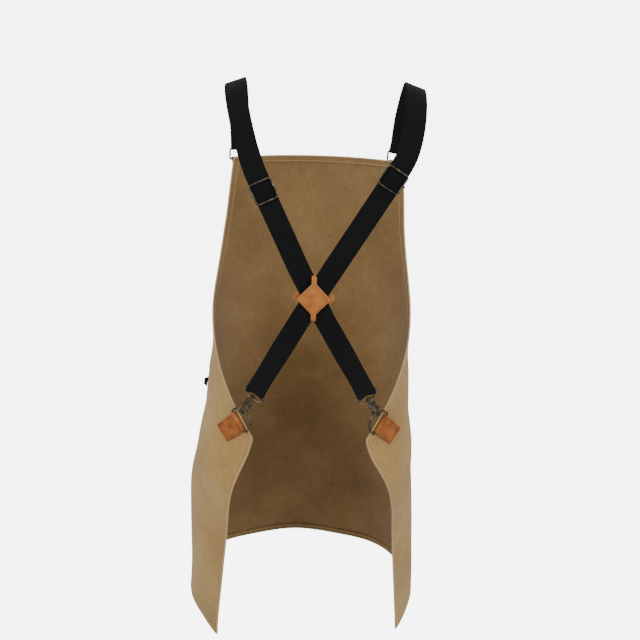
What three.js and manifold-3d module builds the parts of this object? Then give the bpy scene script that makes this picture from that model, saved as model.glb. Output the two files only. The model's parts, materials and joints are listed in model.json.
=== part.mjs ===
// Cross-back work apron: a canvas panel that wraps the wearer's front and sides, held up by two
// webbing straps that cross in a leather patch and clip to rings on leather tabs.
// Units are millimetres, +Z is up, the wearer faces -Y and the wearer's left is +X.
// The origin is the middle of the two straps where they lie on the shoulders.

import * as THREE from 'three';
import { mergeVertices } from 'three/addons/utils/BufferGeometryUtils.js';
import Module from 'manifold-3d';

const wasm = await Module();
wasm.setup();

// ---------------------------------------------------------------- driving dimensions

// Canvas panel, flat pattern: u runs across from the centre line, v runs down from the bib's top.
const bibTopHalf = 145;
const armholeTaper = 60;
const panelHalf = 390;
const armholePower = 3.4;
const bibHeight = 370;
const panelHeight = 775;
const canvasThick = 1.6;
const panelColumns = 32;
const bibRows = 14;
const skirtRows = 9;
const tabClear = 38; // the back tabs lie flat on the cloth down to here

// The drape: the panel's level sections are parts of ellipses. Each station gives the flat
// distance down, the half width and half depth of the ellipse, how far its centre stands to the
// wearer's left, how far forward its front is, and how far the cloth is turned round it.
const bibTopZ = -130;
const dropPerLength = 0.985;
const stations = [
  { v: 0, halfWidth: 175, halfDepth: 100, side: 0, front: -118, turn: 0 },
  { v: 120, halfWidth: 166, halfDepth: 118, side: 3, front: -128, turn: 1 },
  { v: 280, halfWidth: 160, halfDepth: 133, side: 4, front: -142, turn: 4 },
  { v: 370, halfWidth: 169, halfDepth: 138, side: 6, front: -150, turn: 6 },
  { v: 408, halfWidth: 172, halfDepth: 140, side: 7, front: -152, turn: 7 },
  { v: 450, halfWidth: 179, halfDepth: 158, side: 8, front: -155, turn: 16 },
  { v: 560, halfWidth: 194, halfDepth: 149, side: 14, front: -163, turn: 26 },
  { v: 775, halfWidth: 202, halfDepth: 156, side: 11, front: -176, turn: 21 },
];
const cornerDip = 48;
const dipStart = 240;
const dipFrom = 80;
const dipFade = 200;

// Facings sewn inside the armhole edges, and the two pockets on the front.
const facingWidth = 11;
const facingInset = 1;
const facingThick = 0.8;
const facingGap = 1.8;
const clothGap = 1.2;
const pocketThick = 1.2;
const chestPocket = { top: 95, width: 150, height: 150, swell: 9 };
const waistPocket = { top: 400, width: 380, height: 210, swell: 13 };

// Webbing, and the gap that every touching pair keeps.
const webWidth = 32;
const webThick = 1.6;
const gap = 0.3;
const barGap = 0.5;
const layerPitch = webThick + 0.4;
const webStep = 12;
const sewnEnd = 22;

// Strap routes on the back and over the shoulders. Each strap lies flat where the two cross.
const crossing = new THREE.Vector3(0, 120, -297);
const shoulderTop = layerPitch + webThick / 2;
const routes = {
  left: {
    side: 1,
    slider: new THREE.Vector3(77, 104, -141),
    shoulder: new THREE.Vector3(126, 15, shoulderTop),
    climb: 45,
  },
  right: {
    side: -1,
    slider: new THREE.Vector3(-109, 100, -119),
    shoulder: new THREE.Vector3(-140, 15, shoulderTop),
    climb: 42,
  },
};
const crossFlat = 38;
const crossBend = 12;
const aboveSlider = 21;
const shoulderReach = 42;
const frontRise = 50;
const shoulderSlope = 0.36;
const slopeFade = 110;
const settleLength = 120;
const settleEnd = 16;
const backTurn = THREE.MathUtils.degToRad(27);

// Leather.
const leatherThick = 1.8;
const backTab = { width: 33, flat: 42, v: 356, inset: 6, seat: 1.1 };
const frontTab = { width: 30, flat: 34, inset: 18, down: 6 };
const crossAngle = 0.55;
const patchFoot = { inner: webWidth / 2 / Math.cos(crossAngle) + 2.1, width: 3, height: 4 };
const patchFront = { halfWidth: patchFoot.inner + 5.1, halfHeight: 27.5, thick: 2.2 };
const patchBack = { halfWidth: patchFront.halfWidth + 7, halfHeight: 38, thick: 2 };
const patchCorner = 3;

// Rings, loops and sliders of round wire.
const ring = { outer: backTab.width + 11, wire: 3.4, barBelow: 5, corner: 3, play: 0.5 };
const frontLoop = { inner: webWidth + 2, height: 14, wire: 3 };
const slider = { width: webWidth + 4, height: 33, wire: 2.6, corner: 4, barWire: 2.6 };

// Swivel snap, sizes along its axis counted down from the middle of the eye's bar.
const eye = { inner: webWidth + 1.4, depth: 13, wire: 3, corner: 8, bossRadius: 4.4, bossHeight: 5 };
const stem = { radius: 2, headRadius: 3.2, headHeight: 1.6 };
const snap = {
  thick: 4.2, neckWidth: 8.4, holeHalf: 4.7, arm: 3.3, holeTop: 27.6, wireAt: 39.5, wirePlay: 1.3,
  slot: 2.8, pinRadius: 1, hingeDown: 24.2, hingeOut: 4.9,
};
const gate = { thick: 2.2, width: 3, tip: 37.6, tabAt: 33, tabReach: 4.2, tabWidth: 2.8 };
const springStrip = { thick: 0.5, width: 1.9, length: 9 };
const snapTurn = THREE.MathUtils.degToRad(54);
const clawOff = THREE.MathUtils.degToRad(27);

// Tape loop on the wearer's left hip.
const sideLoop = { width: 11, span: 26, rise: 8, thick: 1, v: 372, fromFront: 241 };

const wireSides = 8;

// ---------------------------------------------------------------- small helpers

const lerp = THREE.MathUtils.lerp;
const clamp = THREE.MathUtils.clamp;
const root = new THREE.Group();

function material(color, roughness, metalness = 0) {
  return new THREE.MeshStandardMaterial({ color, roughness, metalness });
}

const finishes = {
  canvas: () => material(0xb59a6a, 0.9),
  webbing: () => material(0x111215, 0.85),
  leather: () => material(0xb0662c, 0.6),
  brass: () => material(0x5a5040, 0.4, 1),
};

function addMesh(name, geometry, finish) {
  const mesh = new THREE.Mesh(geometry, finishes[finish]());
  mesh.name = name;
  root.add(mesh);
  return mesh;
}

function closed(geometry) {
  const bare = geometry.clone();
  bare.deleteAttribute('normal');
  bare.deleteAttribute('uv');
  const merged = mergeVertices(bare, 1e-4);
  merged.computeVertexNormals();
  return merged;
}

function toSolid(geometry) {
  const merged = closed(geometry);
  return new wasm.Manifold(new wasm.Mesh({
    numProp: 3,
    vertProperties: new Float32Array(merged.attributes.position.array),
    triVerts: new Uint32Array(merged.index.array),
  }));
}

function toGeometry(solid) {
  const mesh = solid.getMesh();
  const geometry = new THREE.BufferGeometry();
  geometry.setAttribute('position', new THREE.BufferAttribute(mesh.vertProperties.slice(), 3));
  geometry.setIndex(new THREE.BufferAttribute(mesh.triVerts.slice(), 1));
  geometry.computeVertexNormals();
  return geometry;
}

// A right-handed frame: x, y and z are unit vectors that stand square to each other.
function frameAt(origin, x, y) {
  const z = new THREE.Vector3().crossVectors(x, y);
  return new THREE.Matrix4().makeBasis(x, y, z).setPosition(origin);
}

// The part of a direction that stands square to an axis, as a unit vector.
function squareTo(direction, axis) {
  return direction.clone().addScaledVector(axis, -direction.dot(axis)).normalize();
}

// Moves every vertex of a geometry through a function of its place.
function mapped(geometry, place) {
  const position = geometry.attributes.position;
  const point = new THREE.Vector3();
  for (let i = 0; i < position.count; i += 1) {
    point.fromBufferAttribute(position, i);
    const moved = place(point);
    position.setXYZ(i, moved.x, moved.y, moved.z);
  }
  return closed(geometry);
}

// ---------------------------------------------------------------- the draped canvas

function halfWidthAt(v) {
  const down = clamp(v / bibHeight, 0, 1);
  const rest = panelHalf - bibTopHalf - armholeTaper;
  return bibTopHalf + armholeTaper * down + rest * down ** armholePower;
}

function sectionAt(v) {
  const level = clamp(v, 0, stations.at(-1).v);
  const upper = stations.findLast((station) => station.v <= level);
  const lower = stations.find((station) => station.v > level) ?? upper;
  const share = lower === upper ? 0 : (level - upper.v) / (lower.v - upper.v);
  const between = (key) => lerp(upper[key], lower[key], share);
  const halfDepth = between('halfDepth');
  const curve = new THREE.EllipseCurve(
    0, 0, between('halfWidth'), halfDepth, -Math.PI / 2, Math.PI / 2, false, 0);
  curve.arcLengthDivisions = 360;
  return {
    curve, length: curve.getLength(), side: between('side'), turn: between('turn'),
    centre: between('front') + halfDepth,
  };
}

const sectionCache = new Map();
function cachedSection(v) {
  const key = Math.round(v * 1000);
  if (!sectionCache.has(key)) sectionCache.set(key, sectionAt(v));
  return sectionCache.get(key);
}

// The middle of the cloth at flat position (u, v).
function clothPoint(u, v) {
  const section = cachedSection(v);
  const along = u + section.turn;
  const spot = section.curve.getPointAt(clamp(Math.abs(along) / section.length, 0, 1));
  const wrap = clamp((Math.abs(u) - dipStart) / (panelHalf - dipStart), 0, 1.2);
  const dip = cornerDip * wrap ** 2 * clamp((v - dipFrom) / dipFade, 0, 1);
  return new THREE.Vector3(
    section.side + Math.sign(along || 1) * spot.x,
    section.centre + spot.y,
    bibTopZ - dropPerLength * v - dip);
}

// The frame of the cloth at (u, v): x runs along u, y points down the cloth, z points outward.
function clothFrame(u, v) {
  const reach = 2;
  const across = clothPoint(u + reach, v).sub(clothPoint(u - reach, v)).normalize();
  const down = clothPoint(u, v + reach).sub(clothPoint(u, v - reach)).normalize();
  const normal = new THREE.Vector3().crossVectors(down, across).normalize();
  return { origin: clothPoint(u, v), across, down, normal };
}

function clothAt(u, v, lift) {
  const { origin, normal } = clothFrame(u, v);
  return origin.addScaledVector(normal, lift);
}

// The flat distances down at which the cloth has rows of vertices: evenly along the armhole's
// edge, then evenly down to the hem.
function evenRows(from, to, count) {
  return Array.from({ length: count + 1 }, (_, i) => lerp(from, to, i / count));
}

const armholeEdge = new THREE.SplineCurve(
  evenRows(0, bibHeight, 40).map((v) => new THREE.Vector2(halfWidthAt(v), v)));
const armholeRows = armholeEdge.getSpacedPoints(bibRows).map((point) => point.y);
const skirtTop = bibHeight + tabClear;
const panelLevels = [...armholeRows, ...evenRows(skirtTop, panelHeight, skirtRows)];

// A sheet of cloth over part of the flat pattern, with a row of vertices at each level. spread
// gives u and lift gives how far its middle stands off the panel's middle, both for a share
// across and a level.
function clothSheet(thick, columns, levels, spread, lift) {
  const rows = levels.length - 1;
  const box = new THREE.BoxGeometry(1, thick, rows, columns, 1, rows);
  return mapped(box, ({ x, y, z }) => {
    const v = levels[Math.round(z + rows / 2)];
    return clothAt(spread(x, v), v, lift(x, v) + y);
  });
}

function makePanel() {
  const spread = (across, v) => 2 * across * halfWidthAt(v);
  addMesh('canvas_panel', clothSheet(canvasThick, panelColumns, panelLevels, spread, () => 0), 'canvas');
}

function makeFacing(name, side) {
  const lift = -(canvasThick / 2 + facingGap + facingThick / 2);
  const levels = armholeRows.slice(0, -1);
  const spread = (across, v) => {
    const fromEdge = facingInset + facingWidth * (0.5 - across * side);
    return side * (halfWidthAt(v) - fromEdge);
  };
  addMesh(name, clothSheet(facingThick, 1, levels, spread, () => lift), 'canvas');
}

function makePocket(name, pocket, columns, rows) {
  const seat = canvasThick / 2 + clothGap + pocketThick / 2;
  const spread = (across) => across * pocket.width;
  const lift = (across, v) => {
    const sideways = 1 - (2 * across) ** 2;
    return seat + pocket.swell * sideways * (1 - ((v - pocket.top) / pocket.height) ** 2);
  };
  const levels = evenRows(pocket.top, pocket.top + pocket.height, rows);
  addMesh(name, clothSheet(pocketThick, columns, levels, spread, lift), 'canvas');
}

// ---------------------------------------------------------------- wire loops

// A closed ring of round wire whose middle follows a closed flat curve, in the curve's own plane.
function wireLoop(curve, wire, steps) {
  const torus = new THREE.TorusGeometry(1, 0.1, wireSides, steps);
  const position = torus.attributes.position;
  const perTurn = steps + 1;
  for (let i = 0; i < position.count; i += 1) {
    const step = (i % perTurn) % steps;
    const round = (Math.floor(i / perTurn) % wireSides) * 2 * Math.PI / wireSides;
    const centre = curve.getPointAt(step / steps);
    const tangent = curve.getTangentAt(step / steps);
    const out = Math.cos(round) * wire / 2;
    position.setXYZ(
      i, centre.x + tangent.y * out, centre.y - tangent.x * out, Math.sin(round) * wire / 2);
  }
  return closed(torus);
}

// A rectangle with rounded corners, run counterclockwise, as the middle line of a wire.
function roundedRectangle(width, height, corner) {
  const path = new THREE.Path();
  const x = width / 2 - corner;
  const y = height / 2 - corner;
  path.moveTo(-x, -height / 2);
  path.lineTo(x, -height / 2);
  path.absarc(x, -y, corner, -Math.PI / 2, 0, false);
  path.lineTo(width / 2, y);
  path.absarc(x, y, corner, 0, Math.PI / 2, false);
  path.lineTo(-x, height / 2);
  path.absarc(-x, y, corner, Math.PI / 2, Math.PI, false);
  path.lineTo(-width / 2, -y);
  path.absarc(-x, -y, corner, Math.PI, 1.5 * Math.PI, false);
  return path;
}

// A round rod along a smooth open curve.
function rod(curve, diameter, steps) {
  const section = new THREE.Shape();
  section.absarc(0, 0, diameter / 2, 0, 2 * Math.PI, false);
  return closed(new THREE.ExtrudeGeometry(section, {
    steps, extrudePath: curve, curveSegments: wireSides / 2, bevelEnabled: false,
  }));
}

// ---------------------------------------------------------------- leather tabs

// A folded tab seen from its edge: x runs from the sewn end to the fold, y stands off the cloth.
// The loop's hole is a slot of the given length and height, just past the stitch line at x = 0.
function tabProfile(flat, holeLength, holeHeight) {
  const hole = holeHeight / 2;
  const outer = hole + leatherThick;
  const straight = holeLength / 2 - hole;
  const middle = { x: holeLength / 2 + 0.6, y: outer };
  const shape = new THREE.Shape();
  shape.moveTo(-flat, 0);
  shape.lineTo(middle.x + straight, 0);
  shape.absarc(middle.x + straight, middle.y, outer, -Math.PI / 2, Math.PI / 2, false);
  shape.lineTo(middle.x - straight, 2 * outer);
  shape.quadraticCurveTo(0, 2 * outer, 0, 2 * leatherThick);
  shape.lineTo(-flat, 2 * leatherThick);
  shape.closePath();
  const slot = new THREE.Path();
  slot.absarc(middle.x + straight, middle.y, hole, -Math.PI / 2, Math.PI / 2, false);
  slot.absarc(middle.x - straight, middle.y, hole, Math.PI / 2, 1.5 * Math.PI, false);
  shape.holes.push(slot);
  return { shape, middle };
}

// Extrudes a tab's profile across its width and sets it on the cloth. toward is the direction
// from the sewn end to the fold, and normal stands off the cloth.
function placeTab(name, profile, width, origin, toward, normal) {
  const geometry = new THREE.ExtrudeGeometry(profile.shape, {
    depth: width, curveSegments: 6, bevelEnabled: false,
  });
  geometry.translate(0, 0, -width / 2);
  const mesh = addMesh(name, closed(geometry), 'leather');
  mesh.applyMatrix4(frameAt(origin, toward, normal));
  return mesh;
}

// ---------------------------------------------------------------- fastening chain

const ringRadius = (ring.outer - ring.wire) / 2;

// The ring's middle line: a circle cut by a straight bar, which lies on the y axis.
function ringCurve() {
  const { barBelow, corner } = ring;
  const reach = Math.sqrt((ringRadius - corner) ** 2 - (barBelow - corner) ** 2);
  const join = Math.atan2(reach, corner - barBelow);
  const path = new THREE.Path();
  path.moveTo(0, reach);
  path.lineTo(0, -reach);
  path.absarc(corner, -reach, corner, Math.PI, 2 * Math.PI - join, false);
  path.absarc(barBelow, 0, ringRadius, -join, join, false);
  path.absarc(corner, reach, corner, join, Math.PI, false);
  return path;
}

// Where the back tab, its ring and the snap stand on one side of the apron.
function chainFor(side, strapCentre) {
  const edge = side * halfWidthAt(backTab.v);
  const rise = 4;
  const along = new THREE.Vector2(
    halfWidthAt(backTab.v + rise) - halfWidthAt(backTab.v - rise), 2 * rise).normalize();
  const spot = { u: edge - side * along.y * backTab.inset, v: backTab.v + along.x * backTab.inset };
  const cloth = clothFrame(spot.u, spot.v);
  const toward = squareTo(
    cloth.across.clone().multiplyScalar(side * along.y).addScaledVector(cloth.down, -along.x),
    cloth.normal);
  const roll = new THREE.Vector3().crossVectors(toward, cloth.normal).multiplyScalar(side);
  const hole = ring.wire + 2 * ring.play;
  const profile = tabProfile(backTab.flat, hole + 0.02, hole);
  const origin = cloth.origin.clone().addScaledVector(cloth.normal, canvasThick / 2 + backTab.seat);
  const pivot = origin.clone()
    .addScaledVector(toward, profile.middle.x).addScaledVector(cloth.normal, profile.middle.y);
  const ringCentre = pivot.clone().addScaledVector(toward, ring.barBelow);
  const spoke = toward.clone().multiplyScalar(Math.cos(clawOff))
    .addScaledVector(roll, -Math.sin(clawOff));
  const claw = ringCentre.clone().addScaledVector(spoke, ringRadius);
  const axis = strapCentre.clone().sub(claw).normalize();
  const level = new THREE.Vector3(Math.cos(backTurn), -side * Math.sin(backTurn), 0);
  const across = squareTo(level, axis);
  const out = new THREE.Vector3().crossVectors(axis, across);
  const bar = claw.clone().addScaledVector(axis, snap.wireAt);
  return { side, cloth, toward, roll, profile, origin, pivot, claw, axis, across, out, bar };
}

function makeBackTab(side, name, chain) {
  placeTab(`back_tab_${name}`, chain.profile, backTab.width, chain.origin, chain.toward,
    chain.cloth.normal);
  const loop = addMesh(`back_ring_${name}`, wireLoop(ringCurve(), ring.wire, 32), 'brass');
  loop.applyMatrix4(frameAt(chain.pivot, chain.toward, chain.roll));
}

// ---------------------------------------------------------------- swivel snap

// The eye's middle line: a straight bar on top and a rounded bottom.
function eyeCurve() {
  const width = eye.inner + eye.wire;
  const path = new THREE.Path();
  const x = width / 2;
  const top = 2;
  path.moveTo(x, -top);
  path.absarc(x - top, -top, top, 0, Math.PI / 2, false);
  path.lineTo(-x + top, 0);
  path.absarc(-x + top, -top, top, Math.PI / 2, Math.PI, false);
  path.bezierCurveTo(-x, -eye.depth * 0.9, -eye.corner, -eye.depth, 0, -eye.depth);
  path.bezierCurveTo(eye.corner, -eye.depth, x, -eye.depth * 0.9, x, -top);
  return path;
}

function upright(radius, height, middle) {
  const cylinder = new THREE.CylinderGeometry(radius, radius, height, 14);
  cylinder.translate(0, middle, 0);
  return cylinder;
}

function makeEye() {
  const loop = toSolid(wireLoop(eyeCurve(), eye.wire, 28));
  const boss = toSolid(upright(eye.bossRadius, eye.bossHeight, -eye.depth));
  const bore = toSolid(upright(stem.radius + gap, 3 * eye.bossHeight, -eye.depth));
  return toGeometry(loop.add(boss).subtract(bore));
}

// A flat plate of the given outline, centred on its own plane.
function plate(shape, thick) {
  const geometry = new THREE.ExtrudeGeometry(shape, {
    depth: thick, curveSegments: 6, bevelEnabled: false,
  });
  geometry.translate(0, 0, -thick / 2);
  return geometry;
}

function block(x0, x1, y0, y1, thick) {
  const box = new THREE.BoxGeometry(x1 - x0, y1 - y0, thick);
  box.translate((x0 + x1) / 2, (y0 + y1) / 2, 0);
  return box;
}

function stadium(halfWidth, top, bottom) {
  const shape = new THREE.Shape();
  shape.absarc(0, bottom + halfWidth, halfWidth, Math.PI, 2 * Math.PI, false);
  shape.absarc(0, top - halfWidth, halfWidth, 0, Math.PI, false);
  shape.closePath();
  return shape;
}

const holeBottom = snap.wireAt + ring.wire / 2 + snap.wirePlay;
const clawHalf = snap.holeHalf + snap.arm;
const bossBottom = eye.depth + eye.bossHeight / 2;

function acrossPin(radius, length) {
  const pin = new THREE.CylinderGeometry(radius, radius, length, 10);
  pin.rotateX(Math.PI / 2);
  pin.translate(snap.hingeOut, -snap.hingeDown, 0);
  return pin;
}

function makeSnapBody() {
  const outer = toSolid(plate(
    stadium(clawHalf, -snap.holeTop + snap.arm + 3, -holeBottom - snap.arm), snap.thick));
  const neck = toSolid(block(-snap.neckWidth / 2, snap.neckWidth / 2 + 2.6,
    -snap.holeTop, -bossBottom - 1.6, snap.thick));
  const collar = toSolid(upright(eye.bossRadius - 0.6, 3, -bossBottom - gap - 1.5));
  const shaft = toSolid(upright(stem.radius, bossBottom + 3, -(bossBottom + 3) / 2 - 8));
  const shaftTop = toSolid(upright(stem.radius + 2, 20, 10 - (eye.depth - eye.bossHeight / 2) + gap));
  const head = toSolid(upright(stem.headRadius, stem.headHeight,
    -(eye.depth - eye.bossHeight / 2) + gap + stem.headHeight / 2));
  const hole = toSolid(plate(stadium(snap.holeHalf, -snap.holeTop, -holeBottom), 3 * snap.thick));
  const mouth = toSolid(block(
    2.2, clawHalf + 1, -gate.tip - 2 * gap, -snap.hingeDown - 2.6, 3 * snap.thick));
  const slot = toSolid(block(
    1.1, clawHalf + 4, -snap.hingeDown - 6, -snap.hingeDown + 3.4, snap.slot));
  const pinHole = toSolid(acrossPin(snap.pinRadius + gap, 3 * snap.thick));
  return toGeometry(outer.add(neck).add(collar).add(shaft.subtract(shaftTop)).add(head)
    .subtract(hole).subtract(mouth).subtract(slot).subtract(pinHole));
}

function makeGate() {
  const x0 = clawHalf - gate.width;
  const bar = toSolid(block(x0, clawHalf, -gate.tip, -snap.hingeDown, gate.thick));
  const hub = new THREE.CylinderGeometry(2.3, 2.3, gate.thick, 14);
  hub.rotateX(Math.PI / 2);
  hub.translate(snap.hingeOut, -snap.hingeDown, 0);
  const tabShape = new THREE.Shape();
  tabShape.moveTo(clawHalf - 0.5, -gate.tabAt);
  tabShape.lineTo(clawHalf + gate.tabReach, -gate.tabAt + 1.8 + gate.tabWidth);
  tabShape.lineTo(clawHalf + gate.tabReach - 1, -gate.tabAt + 3.4 + gate.tabWidth);
  tabShape.lineTo(clawHalf - 0.5, -gate.tabAt + 1.6 * gate.tabWidth);
  tabShape.closePath();
  const tab = toSolid(plate(tabShape, gate.thick));
  const pinHole = toSolid(acrossPin(snap.pinRadius + gap, 3 * snap.thick));
  return toGeometry(bar.add(toSolid(hub)).add(tab).subtract(pinHole));
}

function makeSpring() {
  const strip = new THREE.BoxGeometry(springStrip.thick, springStrip.length, springStrip.width);
  strip.rotateZ(THREE.MathUtils.degToRad(9));
  strip.translate(clawHalf - gate.width - 1.8, -snap.hingeDown - 5.6, 0);
  return closed(strip);
}

// The snap hangs on its eye. m is the direction in which the gate faces.
function makeSnap(side, name, chain) {
  const eyeFrame = frameAt(chain.bar, chain.across, chain.axis);
  const eyeMesh = addMesh(`snap_eye_${name}`, makeEye(), 'brass');
  eyeMesh.applyMatrix4(eyeFrame);
  const facing = chain.across.clone().multiplyScalar(side * Math.cos(snapTurn))
    .addScaledVector(chain.out, Math.sin(snapTurn));
  const snapFrame = frameAt(chain.bar, facing, chain.axis);
  const pieces = [
    [`snap_body_${name}`, makeSnapBody()],
    [`snap_gate_${name}`, makeGate()],
    [`gate_pin_${name}`, closed(acrossPin(snap.pinRadius, snap.thick + 0.6))],
    [`gate_spring_${name}`, makeSpring()],
  ];
  for (const [pieceName, geometry] of pieces) {
    addMesh(pieceName, geometry, 'brass').applyMatrix4(snapFrame);
  }
}

// ---------------------------------------------------------------- straps

const barRadius = eye.wire / 2;
const endRadius = barRadius + barGap + webThick / 2;
const frontBarRadius = frontLoop.wire / 2;
const frontRadius = frontBarRadius + barGap + webThick / 2;
const tailRadius = slider.barWire / 2 + gap + webThick / 2;
const tailDepth = layerPitch + tailRadius;

// The strap's middle line from the eye's bar to the front loop, as a curve in space.
function strapRoute(route, chain, strapCentre, corner) {
  const start = chain.bar.clone().addScaledVector(chain.out, endRadius);
  const hung = start.clone().addScaledVector(chain.axis, sewnEnd + 3);
  const flat = route.slider.clone().sub(start).setY(0).normalize();
  const low = strapCentre.clone().addScaledVector(flat, -crossFlat);
  const high = strapCentre.clone().addScaledVector(flat, crossFlat);
  const bend = high.clone().addScaledVector(flat, crossBend);
  const climb = route.slider.clone().sub(bend).normalize();
  const free = bend.clone().addScaledVector(climb, crossBend);
  const top = route.slider.clone().addScaledVector(climb, aboveSlider);
  const front = corner.upperBar.clone().addScaledVector(corner.normal, frontRadius);
  const path = new THREE.CurvePath();
  path.add(new THREE.LineCurve3(start, hung));
  path.add(new THREE.LineCurve3(hung, low));
  path.add(new THREE.LineCurve3(low, high));
  path.add(new THREE.QuadraticBezierCurve3(high, bend, free));
  path.add(new THREE.LineCurve3(free, top));
  path.add(new THREE.CubicBezierCurve3(
    top, top.clone().addScaledVector(climb, route.climb),
    route.shoulder.clone().add(new THREE.Vector3(0, shoulderReach, 0)), route.shoulder));
  path.add(new THREE.CubicBezierCurve3(
    route.shoulder, route.shoulder.clone().add(new THREE.Vector3(0, -shoulderReach, 0)),
    front.clone().addScaledVector(corner.toward, frontRise), front));
  return path;
}

// Frames along the strap: the width lies level across the back, tips with the shoulder and
// turns with the wearer's side near the snap.
function strapFrames(path, route, chainSide, frontAcross) {
  const lengths = path.getCurveLengths();
  const length = lengths.at(-1);
  const shoulderAt = lengths.at(-2);
  const sliderAt = lengths.at(-3) - aboveSlider;
  return {
    length,
    sliderAt,
    at(distance) {
      const share = clamp(distance / length, 0, 1);
      const point = path.getPoint(share);
      const tangent = path.getTangent(share);
      point.addScaledVector(tangent, distance - share * length);
      const near = clamp(1 - Math.abs(distance - shoulderAt) / slopeFade, 0, 1);
      const tip = shoulderSlope * THREE.MathUtils.smoothstep(near, 0, 1);
      const turn = backTurn * (1 - THREE.MathUtils.smoothstep(distance, lengths[0], lengths[1]));
      const level = new THREE.Vector3(Math.cos(turn), -chainSide * Math.sin(turn), -route.side * tip);
      const settle = THREE.MathUtils.smoothstep(distance, length - settleLength, length - settleEnd);
      const across = squareTo(level.lerp(frontAcross, settle), tangent);
      const out = new THREE.Vector3().crossVectors(tangent, across);
      return { point, tangent, across, out };
    },
  };
}

// The strap's lengthwise section: distance along the route and height off it, from the sewn end
// at the eye, up and over the shoulder, round the front loop and back to the slider's bar.
function strapStations(length, sliderAt) {
  const points = [];
  const line = (from, to, height, toHeight = height, step = webStep) => {
    const count = Math.max(1, Math.round(Math.abs(to - from) / step));
    for (let i = 0; i <= count; i += 1) {
      points.push(new THREE.Vector2(lerp(from, to, i / count), lerp(height, toHeight, i / count)));
    }
  };
  const bend = (centre, radius, fromAngle, toAngle) => {
    const count = 6;
    for (let i = 1; i < count; i += 1) {
      const angle = lerp(fromAngle, toAngle, i / count);
      points.push(new THREE.Vector2(
        centre.x + radius * Math.cos(angle), centre.y + radius * Math.sin(angle)));
    }
  };
  line(sewnEnd, 9, -layerPitch, -layerPitch, 6);
  line(1, 0.001, -2 * endRadius + 0.1, -2 * endRadius, 2);
  bend(new THREE.Vector2(0, -endRadius), endRadius, -Math.PI / 2, -1.5 * Math.PI);
  line(0, length, 0);
  bend(new THREE.Vector2(length, -frontRadius), frontRadius, Math.PI / 2, -Math.PI / 2);
  line(length, length - 2, -2 * frontRadius, -2 * frontRadius + 0.3, 2);
  line(length - 12, sliderAt, -layerPitch);
  bend(new THREE.Vector2(sliderAt, -tailDepth), tailRadius, Math.PI / 2, 1.5 * Math.PI);
  line(sliderAt, sliderAt + 1, -tailDepth - tailRadius, -tailDepth - tailRadius + 0.1, 2);
  line(sliderAt + 9, sliderAt + sewnEnd, -2 * layerPitch, -2 * layerPitch, 6);
  return points;
}

function makeStrap(name, frames, sliderAt) {
  const points = strapStations(frames.length, sliderAt);
  const box = new THREE.BoxGeometry(webWidth, webThick, points.length - 1, 1, 1, points.length - 1);
  const half = (points.length - 1) / 2;
  const geometry = mapped(box, ({ x, y, z }) => {
    const index = Math.round(z + half);
    const here = points[index];
    const before = points[Math.max(index - 1, 0)];
    const after = points[Math.min(index + 1, points.length - 1)];
    const heading = after.clone().sub(before).normalize();
    const frame = frames.at(here.x - heading.y * y);
    return frame.point.addScaledVector(frame.out, here.y + heading.x * y)
      .addScaledVector(frame.across, x);
  });
  addMesh(`strap_${name}`, geometry, 'webbing');
}

// ---------------------------------------------------------------- sliders

// The frame lies on the webbing. The bar runs under it, comes up past both edges and hooks over
// the frame's side wires, so that it can creep along them.
function makeSlider(name, frame) {
  const rise = webThick / 2 + gap + slider.wire / 2;
  const base = frameAt(frame.point, frame.across, frame.tangent);
  const sideWire = (slider.width - slider.wire) / 2;
  const outline = roundedRectangle(2 * sideWire, slider.height - slider.wire, slider.corner);
  const wire = wireLoop(outline, slider.wire, 28);
  wire.translate(0, 0, -rise);
  addMesh(`slider_frame_${name}`, wire, 'brass').applyMatrix4(base);

  const turn = (slider.wire + slider.barWire) / 2 + gap;
  const low = tailDepth;
  const end = (sign) => [
    new THREE.Vector3(sign * (sideWire + 0.5), 0, low),
    new THREE.Vector3(sign * (sideWire + turn - 0.3), 0, low - 1),
    new THREE.Vector3(sign * (sideWire + turn), 0, low - 3),
    new THREE.Vector3(sign * (sideWire + turn), 0, -rise),
    new THREE.Vector3(sign * (sideWire + 0.75 * turn), 0, -rise - 0.8 * turn),
    new THREE.Vector3(sign * sideWire, 0, -rise - 1.1 * turn),
  ];
  const middle = [-0.375 * webWidth, 0, 0.375 * webWidth].map((x) => new THREE.Vector3(x, 0, low));
  const spine = new THREE.CatmullRomCurve3(
    [...end(-1).reverse(), ...middle, ...end(1)], false, 'centripetal');
  addMesh(`slider_bar_${name}`, rod(spine, slider.barWire, 26), 'brass').applyMatrix4(base);
}

// ---------------------------------------------------------------- bib corners

function frontCorner(side) {
  const u = side * (halfWidthAt(frontTab.down + frontTab.flat / 2) - frontTab.inset);
  const cloth = clothFrame(u, frontTab.down);
  const toward = cloth.down.clone().negate();
  const normal = squareTo(cloth.normal, toward);
  const hole = frontLoop.wire + 2 * 0.5;
  const profile = tabProfile(frontTab.flat, hole + 0.02, hole);
  const origin = cloth.origin.clone().addScaledVector(normal, canvasThick / 2 + gap);
  const pivot = origin.clone().addScaledVector(toward, profile.middle.x)
    .addScaledVector(normal, profile.middle.y);
  const across = new THREE.Vector3().crossVectors(toward, normal).normalize();
  const loopCentre = pivot.clone().addScaledVector(toward, (frontLoop.height + frontLoop.wire) / 2);
  const upperBar = pivot.clone().addScaledVector(toward, frontLoop.height + frontLoop.wire);
  return { toward, normal, profile, origin, pivot, across, loopCentre, upperBar };
}

function makeFrontCorner(name, corner) {
  placeTab(`front_tab_${name}`, corner.profile, frontTab.width, corner.origin, corner.toward,
    corner.normal);
  const outline = roundedRectangle(
    frontLoop.inner + frontLoop.wire, frontLoop.height + frontLoop.wire, 3);
  const loop = addMesh(`front_loop_${name}`, wireLoop(outline, frontLoop.wire, 24), 'brass');
  loop.applyMatrix4(frameAt(corner.loopCentre, corner.across, corner.toward));
}

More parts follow.
